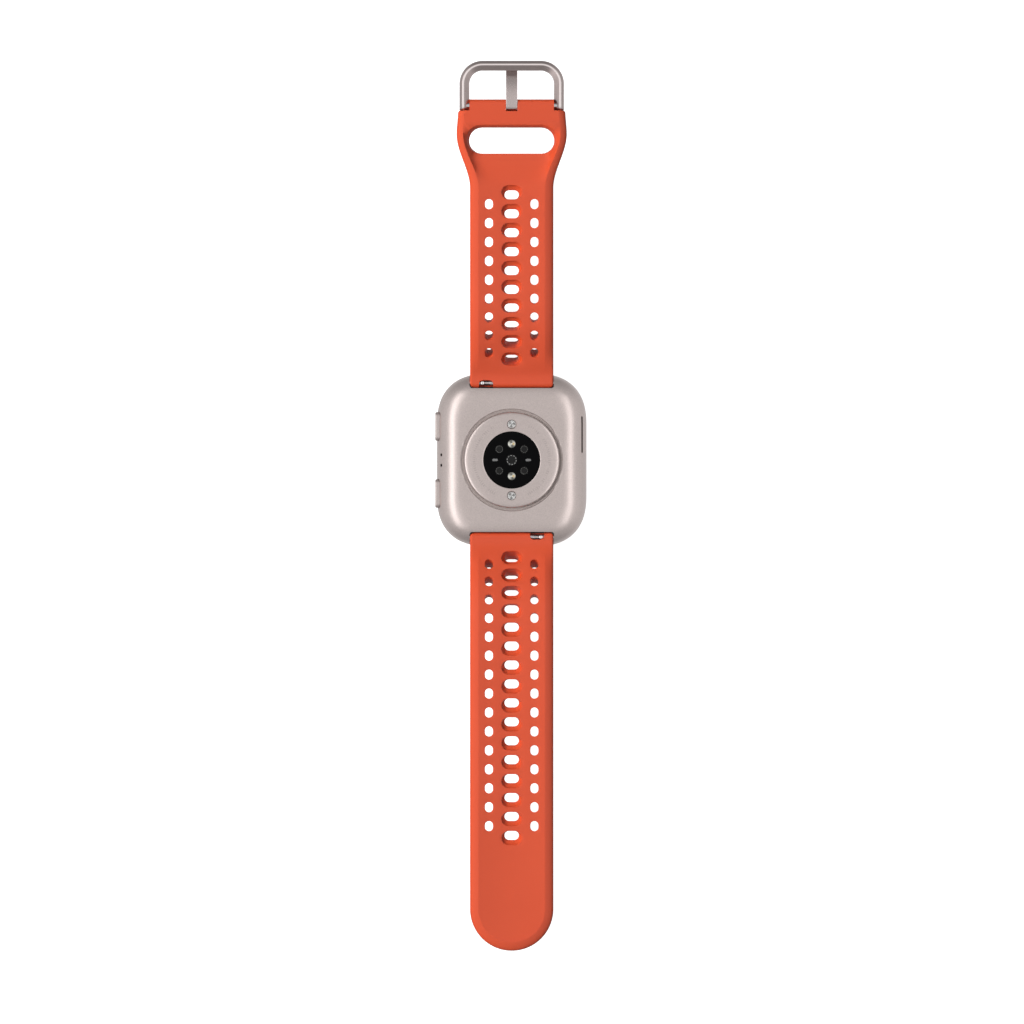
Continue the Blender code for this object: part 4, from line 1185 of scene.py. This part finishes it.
def roundEye(bm, edges):
    radius = buckleShape["eye"]
    previous = 1.0
    for step in range(1, 9):
        back = radius * math.sin(math.radians(step * 10.5))
        height = math.cos(math.radians(step * 10.5))
        grown = bmesh.ops.extrude_edge_only(bm, edges=edges)["geom"]
        verts = [g for g in grown if isinstance(g, bmesh.types.BMVert)]
        for vert in verts:
            vert.co.z = pinAxis.z + (vert.co.z - pinAxis.z) * height / previous
            vert.co.y = pinAxis.y - back
        previous = height
        edges = [g for g in grown if isinstance(g, bmesh.types.BMEdge)]
    bmesh.ops.contextual_create(bm, geom=edges)


tongueShape = {
    "width": 3.0, "eye": 1.4, "thick": 0.95, "bevel": 0.16,
    # height of the upper face over the pin, at distances from it
    "upper": ((-1.2, 0.9), (0.3, 1.42), (2.3, 1.46), (5.2, 0.62), (8.3, -1.1), (9.5, -1.42), (10.9, -1.42)),
}


def buildTongue():
    shape = tongueShape
    bm = bmesh.new()
    outline = []
    count = 34
    for i in range(count + 1):
        along = 0.2 + (10.8 - 0.2) * i / count
        outline.append((along, curveTable(along, shape["upper"])))
    tip = outline[-1]
    outline += [(tip[0] + 0.12, tip[1] - 0.2), (tip[0] + 0.1, tip[1] - 0.5), (tip[0] - 0.1, tip[1] - 0.72)]
    for i in range(count, -1, -1):
        along = 1.15 + (10.4 - 1.15) * i / count
        thick = shape["thick"] - 0.22 * smoothStep((along - 7) / 4)
        outline.append((along, curveTable(along, shape["upper"]) - thick))
    for degrees in range(-20, -262, -14):  # the eye round the pin
        turn = math.radians(degrees)
        outline.append((shape["eye"] * math.cos(turn), shape["eye"] * math.sin(turn)))
    half = shape["width"] / 2
    face = bm.faces.new([bm.verts.new((-half, pinAxis.y + y, pinAxis.z + z)) for y, z in outline])
    grown = bmesh.ops.extrude_face_region(bm, geom=[face])["geom"]
    farVerts = [item for item in grown if isinstance(item, bmesh.types.BMVert)]
    bmesh.ops.translate(bm, vec=(2 * half, 0, 0), verts=farVerts)
    rims = [e for e in bm.edges if abs(e.verts[0].co.x - e.verts[1].co.x) < 1e-6]
    bmesh.ops.bevel(bm, geom=rims, offset=shape["bevel"], offset_type="OFFSET", segments=3, profile=0.5,
                    affect="EDGES", material=-1)
    tongue = finishPiece(bm, "buckleTongue", "tongue", "tongue", ["buckle_tongue"],
                         sharp=30.0)
    bore = move(turnedSolid(((0, -3.0), (0.78, -3.0), (0.78, 3.0), (0, 3.0)), 32), 0, pinAxis.y, pinAxis.z,
                Matrix.Rotation(math.pi / 2, 4, "Y"))
    cutAway(tongue, [finishPiece(bore, "tongueTool", "buckle", None, ())], sharp=30.0)


def buildPin():
    low, high = boxMm("buckle_pin")
    half = high.x
    profile = ((0, -half), (0.55, -half), (0.68, -half + 0.1), (0.7, -half + 0.25), (0.7, half - 0.25),
               (0.68, half - 0.1), (0.55, half), (0, half))
    bm = move(turnedSolid(profile, 40), 0, pinAxis.y, pinAxis.z, Matrix.Rotation(math.pi / 2, 4, "Y"))
    finishPiece(bm, "pin_buckle", "bar", "buckle", ["buckle_pin"])


print("buckle")
buildFrame()
buildTongue()
buildPin()


kept = {
    "grooveSeal": ("island_gasket",),
    "seal": ("display_gasket", "button_seal_upper", "button_seal_lower"),
    "plastic": ("display_panel", "speaker_unit", "microphone", "button_switch_upper", "button_switch_lower"),
    "board": ("sensor_board", "main_board"),
    "cell": ("inner_plate", "battery"),
    "gold": ("gps_antenna",),
    "bar": ("board_shield", "vibration_motor", "speaker_mesh", "plate_screw_1", "plate_screw_2",
            "plate_screw_3", "plate_screw_4", "button_clip_upper", "button_clip_lower",
            "bar_tip_upper", "bar_tip_lower",
            "bar_spring_upper", "bar_spring_lower"),
    "bars": ("led_chip_upper", "led_chip_lower"),
}
for look, nodes in kept.items():
    for node in nodes:
        for slot in frame["nodes"][node].material_slots:
            slot.material = looks[look]


print("studio")
studio = {
    "endDrop": 0.5, "lowDrop": 0.08,
    "floorTone": (0.40, 0.40, 0.40), "floorGlow": 1.0, "worldPower": 0.80,
    "floorSize": 4000.0, "viewWidth": 0.27033, "cameraPlace": (0.00008, -0.01373, 1.6),
    # name, direction, distance, size, power, only seen in metal
    "softboxes": (
        ("key", (-0.75, 0.15, 0.64), 1.3, (0.55, 0.55), 20.5, False),
        ("fill", (0, 0, 1), 1.2, (2.0, 2.0), 9.6, False),
        ("underFill", (0.2, 0.1, -1), 1.2, (2.0, 2.0), 14.0, False),
        ("upperFill", (0, 1, 0.08), 1.2, (1.0, 1.0), 2.5, False),
        ("lowerFill", (0, -1, 0.08), 1.2, (1.0, 1.0), 2.5, False),
        ("leftCard", (-0.68, 0.02, 0.73), 1.0, (1.6, 0.34), 2.8, True),
        ("rightCard", (0.64, 0.0, 0.77), 1.0, (1.4, 0.3), 1.45, True),
    ),
}


def makeFloor():
    bm = bmesh.new()
    bmesh.ops.create_grid(bm, x_segments=1, y_segments=1, size=studio["floorSize"])
    floor = finishPiece(bm, "floor", "seal", None, (), flat=True)
    floor.location.z = -0.00002
    paint = Paint("floorPaint", Roughness=0.9)
    tone = paint.noise(paint.place(), 3.0, 2.0)
    paint.feed("Base Color", paint.mix(tone, studio["floorTone"], (0.42, 0.42, 0.42)))
    paint.shader.inputs["Emission Color"].default_value = (1.0, 1.0, 1.0, 1.0)
    paint.shader.inputs["Emission Strength"].default_value = studio["floorGlow"]
    floor.data.materials[0] = paint.material
    floor.visible_diffuse = floor.visible_glossy = False


# forMetal boxes are only seen as reflections; the others only give soft light
def addSoftbox(name, direction, distance, size, power, forMetal):
    light = bpy.data.lights.new(name, "AREA")
    light.shape, light.size, light.size_y = "RECTANGLE", *size
    light.energy = power
    lamp = bpy.data.objects.new(name, light)
    lamp.location = Vector(direction).normalized() * distance
    lamp.rotation_euler = (-lamp.location).to_track_quat("-Z", "Y").to_euler()
    lamp.visible_diffuse, lamp.visible_glossy, lamp.visible_camera = not forMetal, forMetal, False
    scene.collection.objects.link(lamp)


def addCamera():
    camera = bpy.data.cameras.new("camera")
    camera.type = "ORTHO"
    camera.ortho_scale = studio["viewWidth"]
    camera.clip_start = 0.01
    holder = bpy.data.objects.new("camera", camera)
    holder.location = studio["cameraPlace"]
    scene.collection.objects.link(holder)
    scene.camera = holder


makeFloor()
for softbox in studio["softboxes"]:
    addSoftbox(*softbox)
world = bpy.data.worlds.new("studioWorld")
world.use_nodes = True
sky = Shading(world.node_tree)
x, y, z = sky.parts(sky.place("Generated"))
background = world.node_tree.nodes["Background"]
background.inputs["Color"].default_value = (1.0, 1.0, 1.0, 1.0)
below = 1.0 - z.above(-0.1, 0.5)
level = 1.0 - y.absolute().above(0.72, 0.6) * studio["endDrop"] - below * studio["lowDrop"]
sky.tree.links.new((level * studio["worldPower"]).socket, background.inputs["Strength"])
world.cycles_visibility.diffuse = False
scene.world = world
scene.view_settings.view_transform = "Standard"
addCamera()
